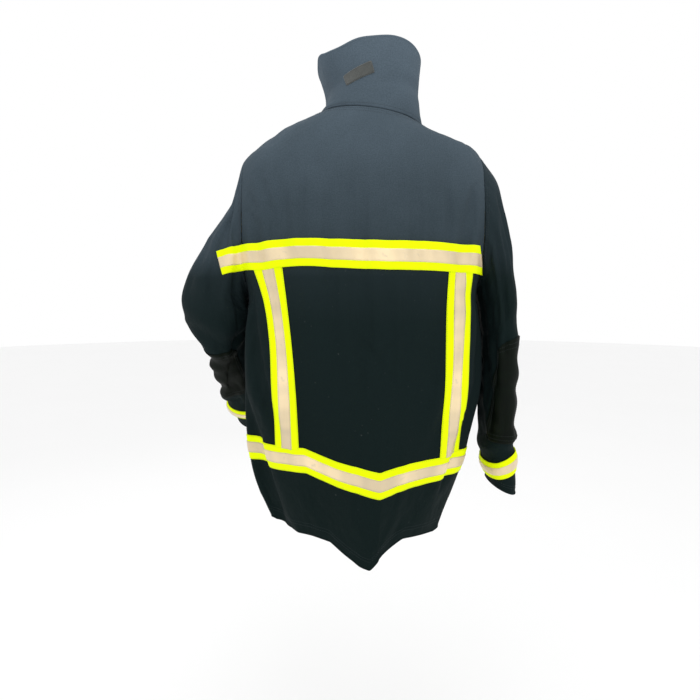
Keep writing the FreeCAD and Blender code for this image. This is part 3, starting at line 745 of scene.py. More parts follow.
def widen(shift, rows, cols, closed=False):
    """A coarse grid of shifts spread smoothly over a fine grid."""
    a = np.linspace(0, shift.shape[0] - 1, rows)
    if closed:
        shift = np.concatenate([shift, shift[:, :1]], 1)
        b = np.linspace(0, shift.shape[1] - 1, cols + 1)[:-1]
    else:
        b = np.linspace(0, shift.shape[1] - 1, cols)

    def weights(t, n):
        i = np.clip(np.floor(t).astype(int), 0, n - 2)
        f = t - i
        index = np.clip(np.stack([i - 1, i, i + 1, i + 2]), 0, n - 1)
        w = np.stack([-f**3 + 2 * f**2 - f, 3 * f**3 - 5 * f**2 + 2,
                      -3 * f**3 + 4 * f**2 + f, f**3 - f**2]) / 2
        return index, w
    i, w = weights(a, shift.shape[0])
    tall = sum(shift[i[k]] * w[k][:, None, None] for k in range(4))
    i, w = weights(b, shift.shape[1])
    return sum(tall[:, i[k]] * w[k][None, :, None] for k in range(4))


# ---- torso surface ----
ROWS = np.linspace(HEM, 0.0, 289)
COLS = np.linspace(0.0, 1.0, 481)


def torso_folds(P):
    """Soft folds pressed into the hanging cloth, in metres along the normal."""
    x, y, z = P[..., 0], P[..., 1], P[..., 2]
    behind = smooth((y - SIDE_Y) / 0.07)
    ahead = smooth((SIDE_Y - y) / 0.07)
    below = smooth((-0.30 - z) / 0.06)
    cross = bump(x + 0.020 + 0.8 * (z + 0.46), 0, 0.012) - bump(x + 0.020 - 0.9 * (z + 0.46), 0, 0.012)
    cross = 0.0040 * cross * bump(z, -0.46, 0.10)
    sway = 0.0028 * np.sin(x * 38 + 1.3 * np.sin(z * 7)) * smooth((-0.34 - z) / 0.2)
    drag = 0.0030 * np.sin((np.abs(x) * 0.6 + z) * 62) * bump(np.abs(x), 0.205, 0.05) * bump(z, -0.36, 0.07)
    yoke = 0.0016 * np.sin(x * 46 + z * 21) * bump(z, -0.20, 0.08)
    slump = 0.0022 * np.sin(z * 71 + 2.2 * np.sin(x * 9 + 0.7)) * bump(z, -0.335, 0.045)
    skirt = 0.0050 * np.sin(x * 44 + 0.9) * smooth((-0.71 - z) / 0.12)
    front = 0.0030 * np.sin(x * 34 + 3.0 * z) * smooth((-0.34 - z) / 0.2) * smooth((np.abs(x) - 0.05) / 0.05)
    ripple = 0.0012 * np.sin(x * 95 + 2 * np.sin(z * 23)) * np.sin(z * 31)
    return behind * (cross + sway + drag + yoke + slump + skirt + below * ripple) + ahead * (front + drag)


TORSO_GRID = np.stack([torso_ring(z, COLS) for z in ROWS])
TORSO_GRID = cut_hem(drape(TORSO_GRID))
LOOSE = smooth((ARMHOLE_X - np.abs(TORSO_GRID[..., 0])) / 0.03) + (TORSO_GRID[..., 2] < ARMHOLE_LOW - 0.03)
LOOSE = np.clip(LOOSE, 0, 1) * smooth(-ROWS / 0.03)[:, None]
LOOSE = LOOSE * smooth(np.abs(TORSO_GRID[..., 0]) / 0.07 + (TORSO_GRID[..., 1] > SIDE_Y))
LOOSE = LOOSE * (0.35 + 0.65 * smooth((-0.10 - TORSO_GRID[..., 2]) / 0.08))
OUT = normals(TORSO_GRID)
TORSO_GRID = TORSO_GRID + OUT * (torso_folds(TORSO_GRID) * LOOSE)[..., None]
step_v, step_u = 3, 4
coarse = TORSO_GRID[::step_v, ::step_u]
held = 1.0 - 0.93 * LOOSE[::step_v, ::step_u]
wrinkles = widen(settle("torso_cloth", coarse, held), *TORSO_GRID.shape[:2])
TORSO_GRID = TORSO_GRID + wrinkles * LOOSE[..., None]
TORSO = Surface(TORSO_GRID, COLS, ROWS)

# ---- collar surface: u as on the torso, v from 0 at the neck seam to 1 at the top edge ----
COLLAR_V = np.linspace(0.0, 1.0, 61)


def collar_grid():
    """The standing collar, sewn to the torso's neck edge, with its uneven top edge."""
    seam = TORSO.at(COLS, 0.0)
    grid = []
    for v in COLLAR_V:
        z = 0.126 * v
        half, back = spline(COLLAR, max(z, 0.0006))
        half = half - 0.006 * math.sin(math.pi * v) - 0.005 * v
        c, s = superellipse(RING_ANGLES, 2.1)
        mid = (back + front_y(z)) / 2
        x, y = half * c, mid + (back - mid) * s
        x = x + np.where(c > 0, 0.006 * v**3 * np.abs(c) ** 8, 0.0)
        x = x + (0.002 * v - 0.018 - 0.0055 * math.sin(v * math.pi)) * smooth((y + 0.15) / 0.08)
        x, y = by_quarters(x, y, COLS).T
        y = np.maximum(y, closure_y(z))
        top = 0.124 - (0.012 - y) * 0.24 + smooth((y + 0.13) / 0.05) * (
            0.009 * bump(x, 0.088, 0.010) - 0.014 * bump(x, 0.047, 0.034) - 0.007 * bump(x, -0.012, 0.040))
        ring = np.stack([x, y, top * v], -1)
        stay = 1 - smooth(v / 0.18)
        ring[:, 2] += seam[:, 2] * (1 - v) ** 2
        ring[:, :2] = ring[:, :2] * (1 - stay) + seam[:, :2] * stay
        grid.append(ring)
    P = np.array(grid)
    n = normals(P)
    behind = smooth((P[..., 1] - SIDE_Y) / 0.05)
    v = COLLAR_V[:, None]
    crease = -0.0035 * bump(v - 0.42 + 1.2 * (P[..., 0] + 0.06), 0, 0.10) * smooth(-(P[..., 0] + 0.02) / 0.03)
    soft = 0.0018 * np.sin(P[..., 0] * 52 + v * 3.2) * np.sin(v * math.pi)
    return P + n * ((crease + soft) * behind)[..., None]


COLLAR_SURFACE = Surface(collar_grid(), COLS, COLLAR_V)

# ---- sleeve surfaces: u is the angle, v the running length from the armhole ----
ANGLES = np.linspace(0.0, TURN, 121)
ELBOW_RUN = {"left": SLEEVES["left"][4, 0] + 0.012, "right": SLEEVES["right"][5, 0]}


def armhole_ring(sign, polar):
    """The torso's armhole edge as distances from the middle of the armhole, for each direction."""
    part = TORSO_GRID[:, :241] if sign > 0 else TORSO_GRID[:, 240:]
    points = []
    for row in part:
        inside = (row[:, 0] * sign > ARMHOLE_X - 0.0006) & (row[:, 2] > ARMHOLE_LOW - 0.002)
        if inside.sum() > 1:
            y, z = row[inside, 1], row[inside, 2]
            points += [(y.max(), z[y.argmax()]), (y.min(), z[y.argmin()])]
    points = np.array(points)
    dy, dz = (points - ARMHOLE_MIDDLE).T
    around = np.arctan2(dy, dz)
    order = np.argsort(around)
    around, reach = around[order], np.hypot(dy, dz)[order]
    polar = (polar + math.pi) % TURN - math.pi
    return np.interp(polar, np.concatenate([around - TURN, around, around + TURN]), np.tile(reach, 3))


def sleeve_folds(side, run, angle):
    """Wrinkles of a sleeve along its normal: bunched at the elbow, softer above and below."""
    elbow = ELBOW_RUN[side]
    end = SLEEVES[side][-1, 0]
    back = np.clip(np.sin(angle), 0, 1)
    outer = np.cos(angle)
    if side == "left":
        wave = run - elbow + 0.012 * np.sin(angle * 2 + 0.6)
        bunch = 0.0068 * np.sin(wave * TURN / 0.050 + 0.9) * bump(run, elbow - 0.018, 0.050)
        bunch = bunch * (0.35 + 0.65 * back)
        corner = 0.010 * bump(run, elbow + 0.006, 0.022) * np.clip(outer, 0, 1) ** 1.5
        pull = 0.0035 * np.sin(angle * 3 + run * 30) * bump(run, elbow * 0.45, 0.09)
        lower = 0.0038 * np.sin(run * TURN / 0.082 + 1.6 * np.sin(angle))
        lower = lower * smooth((run - elbow - 0.05) / 0.08)
        return bunch + corner + pull + lower
    long = 0.0030 * np.sin(angle * 2.0 + 1.0) * smooth(run / 0.1) * smooth((end - run) / 0.05)
    elbow_fold = 0.0042 * np.sin((run - elbow) * TURN / 0.062 + 1.3 * np.sin(angle))
    elbow_fold = elbow_fold * bump(run, elbow + 0.01, 0.08)
    low = 0.0030 * np.sin(run * TURN / 0.055 + 2.0 * np.cos(angle)) * bump(run, end - 0.10, 0.07)
    drag = 0.0032 * np.sin(run * TURN / 0.090 + angle * 1.5) * bump(run, 0.17, 0.10)
    return long + elbow_fold + low + drag


# how far each sleeve's outer edge is moved sideways, in millimetres, at each height
OUTER_Z = np.array([
    -0.770, -0.720, -0.690, -0.650, -0.620, -0.590, -0.560, -0.530, -0.500, -0.475, -0.450, -0.425, -0.400,
    -0.350, -0.315, -0.275, -0.234, -0.194, -0.154, -0.114, -0.074, -0.035, 0.0])
OUTER_SHIFT = {
    "left": np.array([0, 0, 4, 12, 13, 6, -8, -10, -16, -38, -42, -24, -6,
                      -6, -6, -6, -5, -17, -25, -30, -24, -8, 0]) / 1000,
    "right": np.array([0, 2, 5, 6, 6, 6, 6, 6, 6, 6, 6, 6, 7,
                       11, 10, 8, 8, 5, 4, 1, 0, 0, 0]) / 1000,
}


def sleeve_surface(side):
    """A sleeve sewn to its armhole, with its folds and the cloth's settling."""
    sign = 1 if side == "left" else -1
    end = SLEEVES[side][-1, 0]
    runs = np.linspace(0.0, end, 211)
    P = np.stack([sleeve_ring(side, r, ANGLES) for r in runs])
    first = P[0]
    middle_y, middle_z = ARMHOLE_MIDDLE
    polar = np.arctan2(first[:, 1] - middle_y, first[:, 2] - middle_z)
    reach = armhole_ring(sign, polar)
    seam_x = np.full(len(polar), sign * (ARMHOLE_X + 0.0005))
    seam = np.column_stack([seam_x, middle_y + reach * np.sin(polar), middle_z + reach * np.cos(polar)])
    stay = (1 - smooth(runs / 0.055))[:, None, None]
    P = P + (seam - first)[None] * stay
    flip = -1.0 if side == "left" else 1.0
    N = Surface(P, ANGLES, runs, True, flip).N
    free = smooth(runs / 0.05) * smooth((end - runs) / 0.03 + 0.25)
    P = P + N * (sleeve_folds(side, runs[:, None], ANGLES[None, :]) * free[:, None])[..., None]
    coarse = P[::3, :-1:3]
    held = (1.0 - 0.92 * smooth(runs[::3] / 0.06) * smooth((end - runs[::3]) / 0.06 + 0.3))[:, None]
    shift = settle(side + "_sleeve_cloth", coarse, np.repeat(held, coarse.shape[1], 1), True)
    calm = smooth((end - 0.085 - runs) / 0.05)
    wide = widen(shift, len(runs), len(ANGLES) - 1, True) * (free * calm)[:, None, None]
    P = P + np.concatenate([wide, wide[:, :1]], 1)
    outward = ((1 + np.cos(ANGLES)) / 2)[None, :] ** 1.3 * smooth(runs / 0.07)[:, None]
    P[..., 0] += np.interp(P[..., 2], OUTER_Z, OUTER_SHIFT[side]) * outward
    if side == "left":
        P[..., 0] -= 0.020 * bump(P[..., 2], -0.395, 0.045) * (1 - np.cos(ANGLES))[None, :] / 2
    return Surface(P, ANGLES, runs, True, flip)


SLEEVE = {side: sleeve_surface(side) for side in ("left", "right")}


# ---- shell pieces ----
BODY = "coat"
ARM = {side: (side + "_upper_sleeve", side + "_forearm") for side in ("left", "right")}
SHOULDER = {"left": ((0.2335, -0.08, -0.2), (0.262, -0.08, -0.2)),
            "right": ((-0.2335, -0.08, -0.2), (-0.2495, -0.08, -0.2))}
ELBOW = {"left": ((0.325, -0.107, -0.398), (0.302, -0.185, -0.486)),
         "right": ((-0.286, -0.09, -0.445), (-0.286, -0.09, -0.545))}
SPLIT_RUN = {"left": (SLEEVES["left"][2, 0] + SLEEVES["left"][3, 0]) / 2 + 0.012,
             "right": SLEEVES["right"][4, 0] - 0.030}
SHELL_THICK, LINER_THICK = 0.0018, 0.0030


def fade_and_top_light_by_height(obj, scale=1.0, floor=0.0):
    """Lighter colour from above, full at the collar and little below the chest tape: partly sun and wash
    fading, partly painted light from above.
    """
    z = np.array([v.co.z for v in obj.data.vertices])
    value = np.interp(z, [-0.80, -0.62, -0.40, -0.315, -0.27, -0.18, -0.06, 0.02, 0.12],
                      [0.02, 0.03, 0.045, 0.10, 0.34, 0.46, 0.66, 0.80, 0.98])
    value = np.maximum(value * scale, floor)
    layer = obj.data.attributes.new("fade_and_top_light", "FLOAT", "POINT")
    layer.data.foreach_set("value", value.astype(np.float32))
    return obj


def stand_for(obj, nodes):
    """Hides the frame's nodes that a piece stands for, if any."""
    names = [node for node in nodes if node]
    if names:
        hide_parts(*names)
    return obj


def fix(obj, body, slot, *nodes):
    """Carries a piece on one body."""
    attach(obj, body)
    return stand_for(obj, nodes)


def bend(obj, pair, where, slot, *nodes):
    """Bakes a piece's placement into its mesh and hides the frame's nodes that it stands for."""
    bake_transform(obj)
    return stand_for(obj, nodes)


def patch_grid(surface, u_low, u_high, v_low, v_high, nu, nv, out=0.0):
    """Grid of points over part of a surface. Limits of u may be numbers or functions of v."""
    v = np.linspace(v_low, v_high, nv)[:, None]
    a = u_low(v) if callable(u_low) else np.full_like(v, u_low)
    b = u_high(v) if callable(u_high) else np.full_like(v, u_high)
    u = a + (b - a) * np.linspace(0, 1, nu)[None, :]
    return surface.at(u, v, out), u, v


def gap_u(half, left):
    """u where the left or the right front is half away from the middle, as a function of v."""
    part = slice(0, 121) if left else slice(360, 481)
    table = [np.interp(half if left else -half, row[part, 0], COLS[part]) for row in TORSO_GRID[::6]]
    return lambda v: np.interp(v, ROWS[::6], table)


def outside_armholes(P, margin):
    """The cells of a torso grid that aren't cut away for the sleeves."""
    hole = (np.abs(P[..., 0]) > ARMHOLE_X - margin) & (P[..., 2] > ARMHOLE_LOW + 0.004)
    return ~(hole[:-1, :-1] & hole[1:, :-1] & hole[:-1, 1:] & hole[1:, 1:])


YOKE_SEAM = (CHEST_TAPE[0] + CHEST_TAPE[1]) / 2
GAP = {True: gap_u(0.014, True), False: gap_u(0.014, False)}
for name, u_low, u_high, v_low, v_high, nu, nv in (
        ("back_yoke", 0.25, 0.75, YOKE_SEAM, 0.0, 241, 93),
        ("back_panel", 0.25, 0.75, HEM, YOKE_SEAM, 241, 201),
        ("left_front_panel", GAP[True], 0.25, HEM, 0.0, 121, 289),
        ("right_front_panel", 0.75, GAP[False], HEM, 0.0, 121, 289)):
    P, u, v = patch_grid(TORSO, u_low, u_high, v_low, v_high, nu, nv)
    keep = outside_armholes(P, 0.0012)
    piece = sheet(name + "_cloth", P, SHELL_THICK, NAVY, keep=keep, uv=uv_of(u * 1.4, v))
    fix(fade_and_top_light_by_height(piece), BODY, "shell_fabric", name)

# liner and barrier, seen up the hem and down the neck
for name, depth, thick, material, slot, rise in (
        ("moisture_barrier", 0.0026, 0.0008, BARRIER, "barrier_film", 0.022),
        ("thermal_liner", 0.0045, LINER_THICK, QUILT, "quilted_liner", 0.030)):
    P, u, v = patch_grid(TORSO, gap_u(0.024, True), gap_u(0.024, False), HEM + rise, -0.004, 241, 97, -depth)
    keep = outside_armholes(P, depth + 0.0045)
    fix(sheet(name + "_cloth", P, thick, material, keep=keep, uv=uv_of(u * 1.4, v)), BODY, slot, name)

# collar
COLLAR_GAP = 0.0175
for name, low, out, thick, scale in (("collar_shell", -0.02, 0.0004, 0.0020, 1.0),
                                     ("collar_lining", 0.0, -0.0019, LINER_THICK, 0.8)):
    P, u, v = patch_grid(COLLAR_SURFACE, COLLAR_GAP, 1 - COLLAR_GAP, low, 1.0, 241, 49, out)
    piece = sheet(name + "_cloth", P, thick, NAVY, uv=uv_of(u * 0.6, v * 0.12))
    fix(fade_and_top_light_by_height(piece, scale), BODY, "shell_fabric", name)
edge = COLLAR_SURFACE.at(np.linspace(COLLAR_GAP, 1 - COLLAR_GAP, 301), 1.0, -0.0023)
fix(fade_and_top_light_by_height(strand("collar_edge_binding", [edge], 0.0030, NAVY, 8)), BODY, "shell_fabric")

# sleeves
for side, (upper, forearm) in ARM.items():
    surface = SLEEVE[side]
    end = surface.v[-1]
    split = SPLIT_RUN[side]
    left = side == "left"
    for name, node, low, high, rows, pair, where in (
            ("upper_sleeve", "upper_sleeve", 0.0, split + 0.002, 75, (BODY, upper), SHOULDER[side]),
            ("elbow_and_forearm", "forearm", split - 0.002, end, 121, (upper, forearm), ELBOW[side])):
        run = np.linspace(low, high, rows)[:, None]
        angle = np.linspace(0, TURN, 121)[None, :-1]
        uv = uv_of(np.abs(angle - math.pi) * 0.075, run)
        shell = sheet(f"{side}_{name}_cloth", surface.at(angle, run), SHELL_THICK, NAVY, left, True, uv=uv)
        # height fade with painted light from above, set stronger on the left sleeve than on the right
        fade_and_top_light_by_height(shell, 1.12 if left else 0.42, 0.03)
        bend(shell, pair, where, "shell_fabric", f"{side}_{node}_shell")
        run = np.linspace(low, high if high < end else end - 0.03, rows // 2)[:, None]
        angle = np.linspace(0, TURN, 61)[None, :-1]
        uv = uv_of(np.abs(angle - math.pi) * 0.075, run)
        P = surface.at(angle, run, -0.0040 - 0.009 * bump(run, split, 0.045))
        liner = sheet(f"{side}_{name}_lining", P, LINER_THICK, QUILT, left, True, uv=uv, soft=False)
        bend(liner, pair, where, "quilted_liner", f"{side}_{node}_liner")

# ---- reflective trim: every band is a lime tape with a bright stripe on it ----
TAPE_OUT, STRIPE_OUT = 0.0016, 0.0026
STRIPE_LOW = 0.28


def band(name, place, along, material, thick, low, high, out, rows, wide):
    """A strip of tape. place(along, across, out) gives points, across runs 0 to 1 from its lower edge."""
    t = np.linspace(low, high, rows)[:, None]
    P = place(along[None, :], t, out)
    return sheet(name, P, thick, material, uv=uv_of(run_of(P[rows // 2])[None, :], t * wide))


def tape_pair(name, place, along, dress, node, wide=0.05):
    """Lime tape with its bright stripe and four rows of stitching, each piece dressed by the caller."""
    for part, material, thick, low, rows, out, thread, inset, lift, sizes, slot in (
            ("_tape", LIME, 0.0011, 0.0, 13, TAPE_OUT, LIME_THREAD, 0.035, 0.0005,
             (0.0042, 0.0030, 0.0008, 0.0004), "lime_trim"),
            ("_stripe", SILVER, 0.0008, STRIPE_LOW, 9, STRIPE_OUT, SILVER_THREAD, 0.020, 0.0001,
             (0.0036, 0.0026, 0.0007, 0.0004), "silver_trim")):
        strip = band(name + part, place, along, material, thick, low, 1 - low, out, rows, wide)
        dress(strip, slot, node + part)
        paths = []
        for t in (low + inset, 1 - low - inset):
            line = place(along[None, :], np.array([[t]]), out + lift)[0]
            paths.append((line, place(along[None, :], np.array([[t]]), out + 0.01)[0] - line))
        dress(stitches(name + part + "_stitches", paths, thread, *sizes), slot)


def coat_dress(obj, slot, node=None):
    """Dresses a band carried on the coat."""
    fix(obj, BODY, slot, node)


def torso_band(low, high):
    """place() for a band round the torso, low and high giving its edges as functions of u."""
    return lambda u, t, out: TORSO.at(u, low(u) * (1 - t) + high(u) * t, out)


def level(table_x, table_z):
    """v on the back that lands at the wanted height, for each u, from heights given across the coat."""
    us = np.linspace(0.25, 0.75, 121)
    want_v = []
    for u in us:
        P = TORSO.at(np.full(len(ROWS), u), ROWS)
        want = np.interp(P[len(ROWS) // 3, 0], table_x, table_z)
        want_v.append(np.interp(want, P[:, 2], ROWS))
    return lambda u: np.interp(u, us, want_v)


def soften(y, times):
    """Takes the small steps out of a projected grid."""
    for _ in range(times):
        y = np.pad(y, 1, mode="edge")
        y = (y[1:-1, 1:-1] * 4 + y[:-2, 1:-1] + y[2:, 1:-1] + y[1:-1, :-2] + y[1:-1, 2:]) / 8
    return y


def tree_of(*names):
    """Search trees of some finished pieces."""
    meshes = [bpy.data.objects[name].data for name in names]
    return [BVHTree.FromPolygons([v.co.copy() for v in mesh.vertices],
                                 [list(f.vertices) for f in mesh.polygons]) for mesh in meshes]


def cast(trees, x, z, from_behind, out, times=3):
    """Points where a level line from behind or from the front meets some meshes, moved off them by out."""
    P = np.empty(x.shape + (3,))
    start, way = (0.6, -1) if from_behind else (-0.7, 1)
    for index in np.ndindex(x.shape):
        hits = [tree.ray_cast(Vector((x[index], start, z[index])), Vector((0, way, 0)))[0] for tree in trees]
        near = [-way * hit.y for hit in hits if hit is not None and (from_behind or hit.y <= -0.06)]
        P[index] = (x[index], -way * max(near) if near else np.nan, z[index])
    for row in P:
        good = ~np.isnan(row[:, 1])
        if good.any():
            row[:, 1] = np.interp(np.arange(len(row)), np.flatnonzero(good), row[good, 1])
    y = soften(P[..., 1], times)
    P[..., 1] = (np.maximum(y, P[..., 1]) if from_behind else np.minimum(y, P[..., 1])) - way * out
    return P


def line_table(*points):
    """Smooth line through (x, z) points, as a function of 0 to 1."""
    points = np.array(points, float)
    run = run_of(points)
    table = np.column_stack([run / run[-1], points])
    return lambda s: spline(table, s)


def projected(edge_a, edge_b, count, out):
    """place() for a band draped on the back of the coat between two edges."""
    s, t = np.linspace(0, 1, count), np.linspace(0, 1, 13)
    share = t[:, None, None]
    XZ = edge_a(s) * (1 - share) + edge_b(s) * share
    P = cast(BACK_TREES, XZ[..., 0], XZ[..., 1], True, out, 4)
    return Surface(P, s, t, False, 1.0 if normals(P)[..., 1].mean() > 0 else -1.0).at


SIDES = ((True, "left"), (False, "right"))
BACK_TREES = tree_of("back_yoke_cloth", "back_panel_cloth", "left_upper_sleeve_cloth",
                     "left_elbow_and_forearm_cloth")

# chest band: straight across the back and a little way on to the left sleeve, then the front in two pieces
chest_high = line_table(
    (-0.217, -0.2555), (-0.165, -0.2545), (-0.12, -0.2515), (-0.036, -0.250), (0.05, -0.2475),
    (0.104, -0.246), (0.160, -0.2475), (0.205, -0.252), (0.234, -0.2525), (0.255, -0.258),
    (0.281, -0.2645))
chest_low = line_table(
    (-0.2325, -0.309), (-0.180, -0.3065), (-0.12, -0.3035), (-0.036, -0.302), (0.05, -0.2985),
    (0.104, -0.2955), (0.150, -0.297), (0.195, -0.302), (0.228, -0.300), (0.248, -0.303),
    (0.268, -0.309))


def left_arm_dress(obj, slot, node=None):
    """Dresses a band that runs from the coat on to the left upper sleeve."""
    bend(obj, (BODY, "left_upper_sleeve"), SHOULDER["left"], slot, node)


chest = projected(chest_low, chest_high, 181, 0.0017)
tape_pair("chest_back", chest, np.linspace(0, 1, 181), left_arm_dress, "chest")
FLAP_COVER = 0.022
chest_row = TORSO_GRID[196, :, 0]
chest_place = torso_band(lambda u: CHEST_TAPE[LOW], lambda u: CHEST_TAPE[HIGH])
for left, side in SIDES:
    middle = float(GAP[left](YOKE_SEAM))
    if left:
        armhole_u = np.interp(ARMHOLE_X - 0.003, chest_row[:121], COLS[:121])
        along = np.linspace(middle + FLAP_COVER, armhole_u, 81)
    else:
        armhole_u = np.interp(0.003 - ARMHOLE_X, chest_row[361:], COLS[361:])
        along = np.linspace(armhole_u, middle - FLAP_COVER, 81)
    tape_pair(side + "_front_chest", chest_place, along, coat_dress, "chest")

# hem band: round the skirt, dipping with the ridge at the middle of the back
hem_x = [-0.25, -0.198, -0.10, -0.031, 0.05, 0.121, 0.24]
hem_high = level(hem_x, [-0.664, -0.661, -0.668, -0.679, -0.664, -0.642, -0.642])
hem_low = level(hem_x, [-0.716, -0.712, -0.720, -0.732, -0.716, -0.694, -0.694])
tape_pair("hem_back", torso_band(hem_low, hem_high), np.linspace(0.252, 0.748, 201), coat_dress, "hem")
for left, side in SIDES:
    middle = float(GAP[left]((HEM_TAPE[LOW] + HEM_TAPE[HIGH]) / 2))
    seam_u = 0.252 if left else 0.748

    def edge_of(height, level_line, seam_u=seam_u):
        at_seam = float(level_line(seam_u))
        return lambda u: at_seam + (height - at_seam) * smooth(np.abs(u - seam_u) / 0.12)
    place = torso_band(edge_of(HEM_TAPE[LOW], hem_low), edge_of(HEM_TAPE[HIGH], hem_high))
    ends = (middle + FLAP_COVER, seam_u) if left else (seam_u, middle - FLAP_COVER)
    tape_pair(side + "_front_hem", place, np.linspace(*ends, 101), coat_dress, "hem")

# two straps of trim down the back, between the bands
for side, outer, inner in (
        ("left",
         line_table((0.206, -0.297), (0.186, -0.36), (0.176, -0.424), (0.172, -0.53), (0.172, -0.646)),
         line_table((0.150, -0.294), (0.142, -0.36), (0.135, -0.424), (0.127, -0.53), (0.124, -0.646))),
        ("right", line_table((-0.157, -0.300), (-0.154, -0.40), (-0.152, -0.52), (-0.150, -0.666)),
         line_table((-0.204, -0.301), (-0.203, -0.40), (-0.200, -0.52), (-0.196, -0.664)))):
    strap = projected(outer, inner, 131, 0.0008)
    tape_pair(side + "_brace", strap, np.linspace(0, 1, 131), coat_dress, "brace")

# cuff bands
CUFF_WIDE = 0.038
for side, inset, tilt in (("left", 0.060, 0.004), ("right", 0.052, 0.013)):
    def cuff(u, t, out, surface=SLEEVE[side], middle=SLEEVE[side].v[-1] - inset, tilt=tilt):
        run = middle + (0.5 - t) * CUFF_WIDE - tilt * np.cos(u) - 0.003 * np.sin(2 * u)
        return surface.at(u % TURN, run, out)

    def cuff_dress(obj, slot, node=None, side=side):
        fix(obj, ARM[side][1], slot, node and f"{side}_{node}")
    around = np.linspace(-0.6 * math.pi, 1.41 * math.pi, 121)
    tape_pair(side + "_cuff", cuff, around, cuff_dress, "cuff", CUFF_WIDE)


# ---- sewing helpers ----
def trace(corners, count=None):
    """Points along a polyline, count on each leg, or one every 6 mm."""
    return np.concatenate([np.linspace(a, b, count or max(8, int(math.dist(a, b) / 0.006)))
                           for a, b in zip(corners, corners[1:])])


def seam(surface, u, v, out=0.0002):
    """A line on a surface and the directions out of it."""
    line = surface.at(u, v, out)
    return line, surface.at(u, v, 0.01) - line


def seams(surface, paths, count=None):
    """Rows for stitches along some polylines on a surface."""
    return [seam(surface, *trace(path, count).T) for path in paths]


def faced_sheet(name, P, thick, material, towards, uv=None, u=None, v=None):
    """A sheet with its outer face towards a direction, and the Surface it follows."""
    wrong = (normals(P) @ np.array(towards, float)).mean() < 0
    u = np.linspace(0, 1, P.shape[1]) if u is None else u
    v = np.linspace(0, 1, P.shape[0]) if v is None else v
    return sheet(name, P, thick, material, flip=wrong, uv=uv), Surface(P, u, v, False, -1.0 if wrong else 1.0)


REARWARD, FORWARD = (0, 1, 0), (0, -1, 0)

# ---- elbow patches, wristlets and cuff edges ----
for side, before, after, first, wide_top, wide_low in (("left", 0.004, 0.168, 0.25, 2.30, 2.25),
                                                       ("right", -0.060, 0.150, 0.60, 1.95, 2.70)):
    surface = SLEEVE[side]
    end = surface.v[-1]
    low, high = ELBOW_RUN[side] + before, ELBOW_RUN[side] + after
    t = np.linspace(0, 1, 71)[:, None]
    s = np.linspace(0, 1, 61)[None, :]
    pinch = 0.10 * (1 - np.clip(1 - ((2 * t - 1) ** 14), 0, 1) ** 0.5)
    a = first + pinch
    b = wide_top + (wide_low - wide_top) * t - pinch
    squeeze = 0.010 * (np.abs(2 * s - 1) ** 12)
    run = low + (high - low) * t + squeeze * np.where(t > 0.5, -1, 1) * np.abs(2 * t - 1) ** 6
    angle = a + (b - a) * s
    P = surface.at(angle, run, 0.0017)
    uv = uv_of(angle * 0.06, run)
    patch = sheet(side + "_elbow_patch_hide", P, 0.0014, HIDE, flip=side == "left", uv=uv)
    bend(patch, ARM[side], ELBOW[side], "elbow_leather", side + "_elbow_patch")
    grid = Surface(P, s[0], t[:, 0], False, -1.0 if side == "left" else 1.0)
    loops = [[(i, i), (i, 1 - i), (1 - i, 1 - i), (1 - i, i), (i, i)] for i in (0.035, 0.075)]
    bend(stitches(side + "_elbow_patch_stitches", seams(grid, loops, 50), THREAD), ARM[side], ELBOW[side],
         "elbow_leather")
    angle = np.linspace(0, TURN, 97)[None, :-1]
    run = np.linspace(end - 0.075, end - 0.005, 29)[:, None]
    pull = 0.009 + 0.0035 * smooth((run - end + 0.06) / 0.05) + 0.0006 * np.sin(angle * 40)
    knit = sheet(side + "_wristlet_knit", surface.at(angle, run, -pull), 0.0022, KNIT, side == "left", True,
                 uv=uv_of(angle * 0.055, run))
    fix(knit, ARM[side][1], "knit", side + "_wristlet")
    rim = surface.at(np.linspace(0, TURN, 145), end - 0.001, -0.0010)
    binding = strand(side + "_cuff_binding", [rim], 0.0021, NAVY, 8)
    fix(fade_and_top_light_by_height(binding, 0.3, 0.05), ARM[side][1], "shell_fabric")

# ---- collar patch, hanger loop ----
tilt = math.radians(18)
s, t = np.meshgrid(np.linspace(-1, 1, 41), np.linspace(-1, 1, 21))
eased_s, eased_t = s * np.sqrt(1 - 0.05 * t**8), t * np.sqrt(1 - 0.10 * s**8)
x, z = eased_s * 0.0275, eased_t * 0.0105
P = cast(tree_of("collar_shell_cloth"), 0.009 + x * math.cos(tilt) + z * math.sin(tilt),
         0.059 - x * math.sin(tilt) + z * math.cos(tilt), True, 0.0018)
collar_patch, grid = faced_sheet("collar_tab_patch_pile", P, 0.0016, PILE, REARWARD, None, s[0], t[:, 0])
fix(collar_patch, BODY, "hook_and_loop", "collar_tab_patch")
rows = seams(grid, [[(-0.93, -0.85), (0.93, -0.85), (0.93, 0.85), (-0.93, 0.85), (-0.93, -0.85)]], 30)
fix(stitches("collar_tab_patch_stitches", rows, THREAD, 0.003, 0.0022, 0.0006), BODY, "hook_and_loop")

x, z = np.meshgrid(np.linspace(-0.024, 0.024, 41), np.linspace(-0.009, 0.009, 15))
bow = 0.001 - 0.0022 * (1 - (x / 0.024) ** 2) + 0.0003 * np.sin(x * 300)
loop, _ = faced_sheet("hanger_loop_webbing", np.stack([x, bow, z], -1), 0.0018, WEBBING, REARWARD)
fix(loop, BODY, "webbing", "hanger_loop")


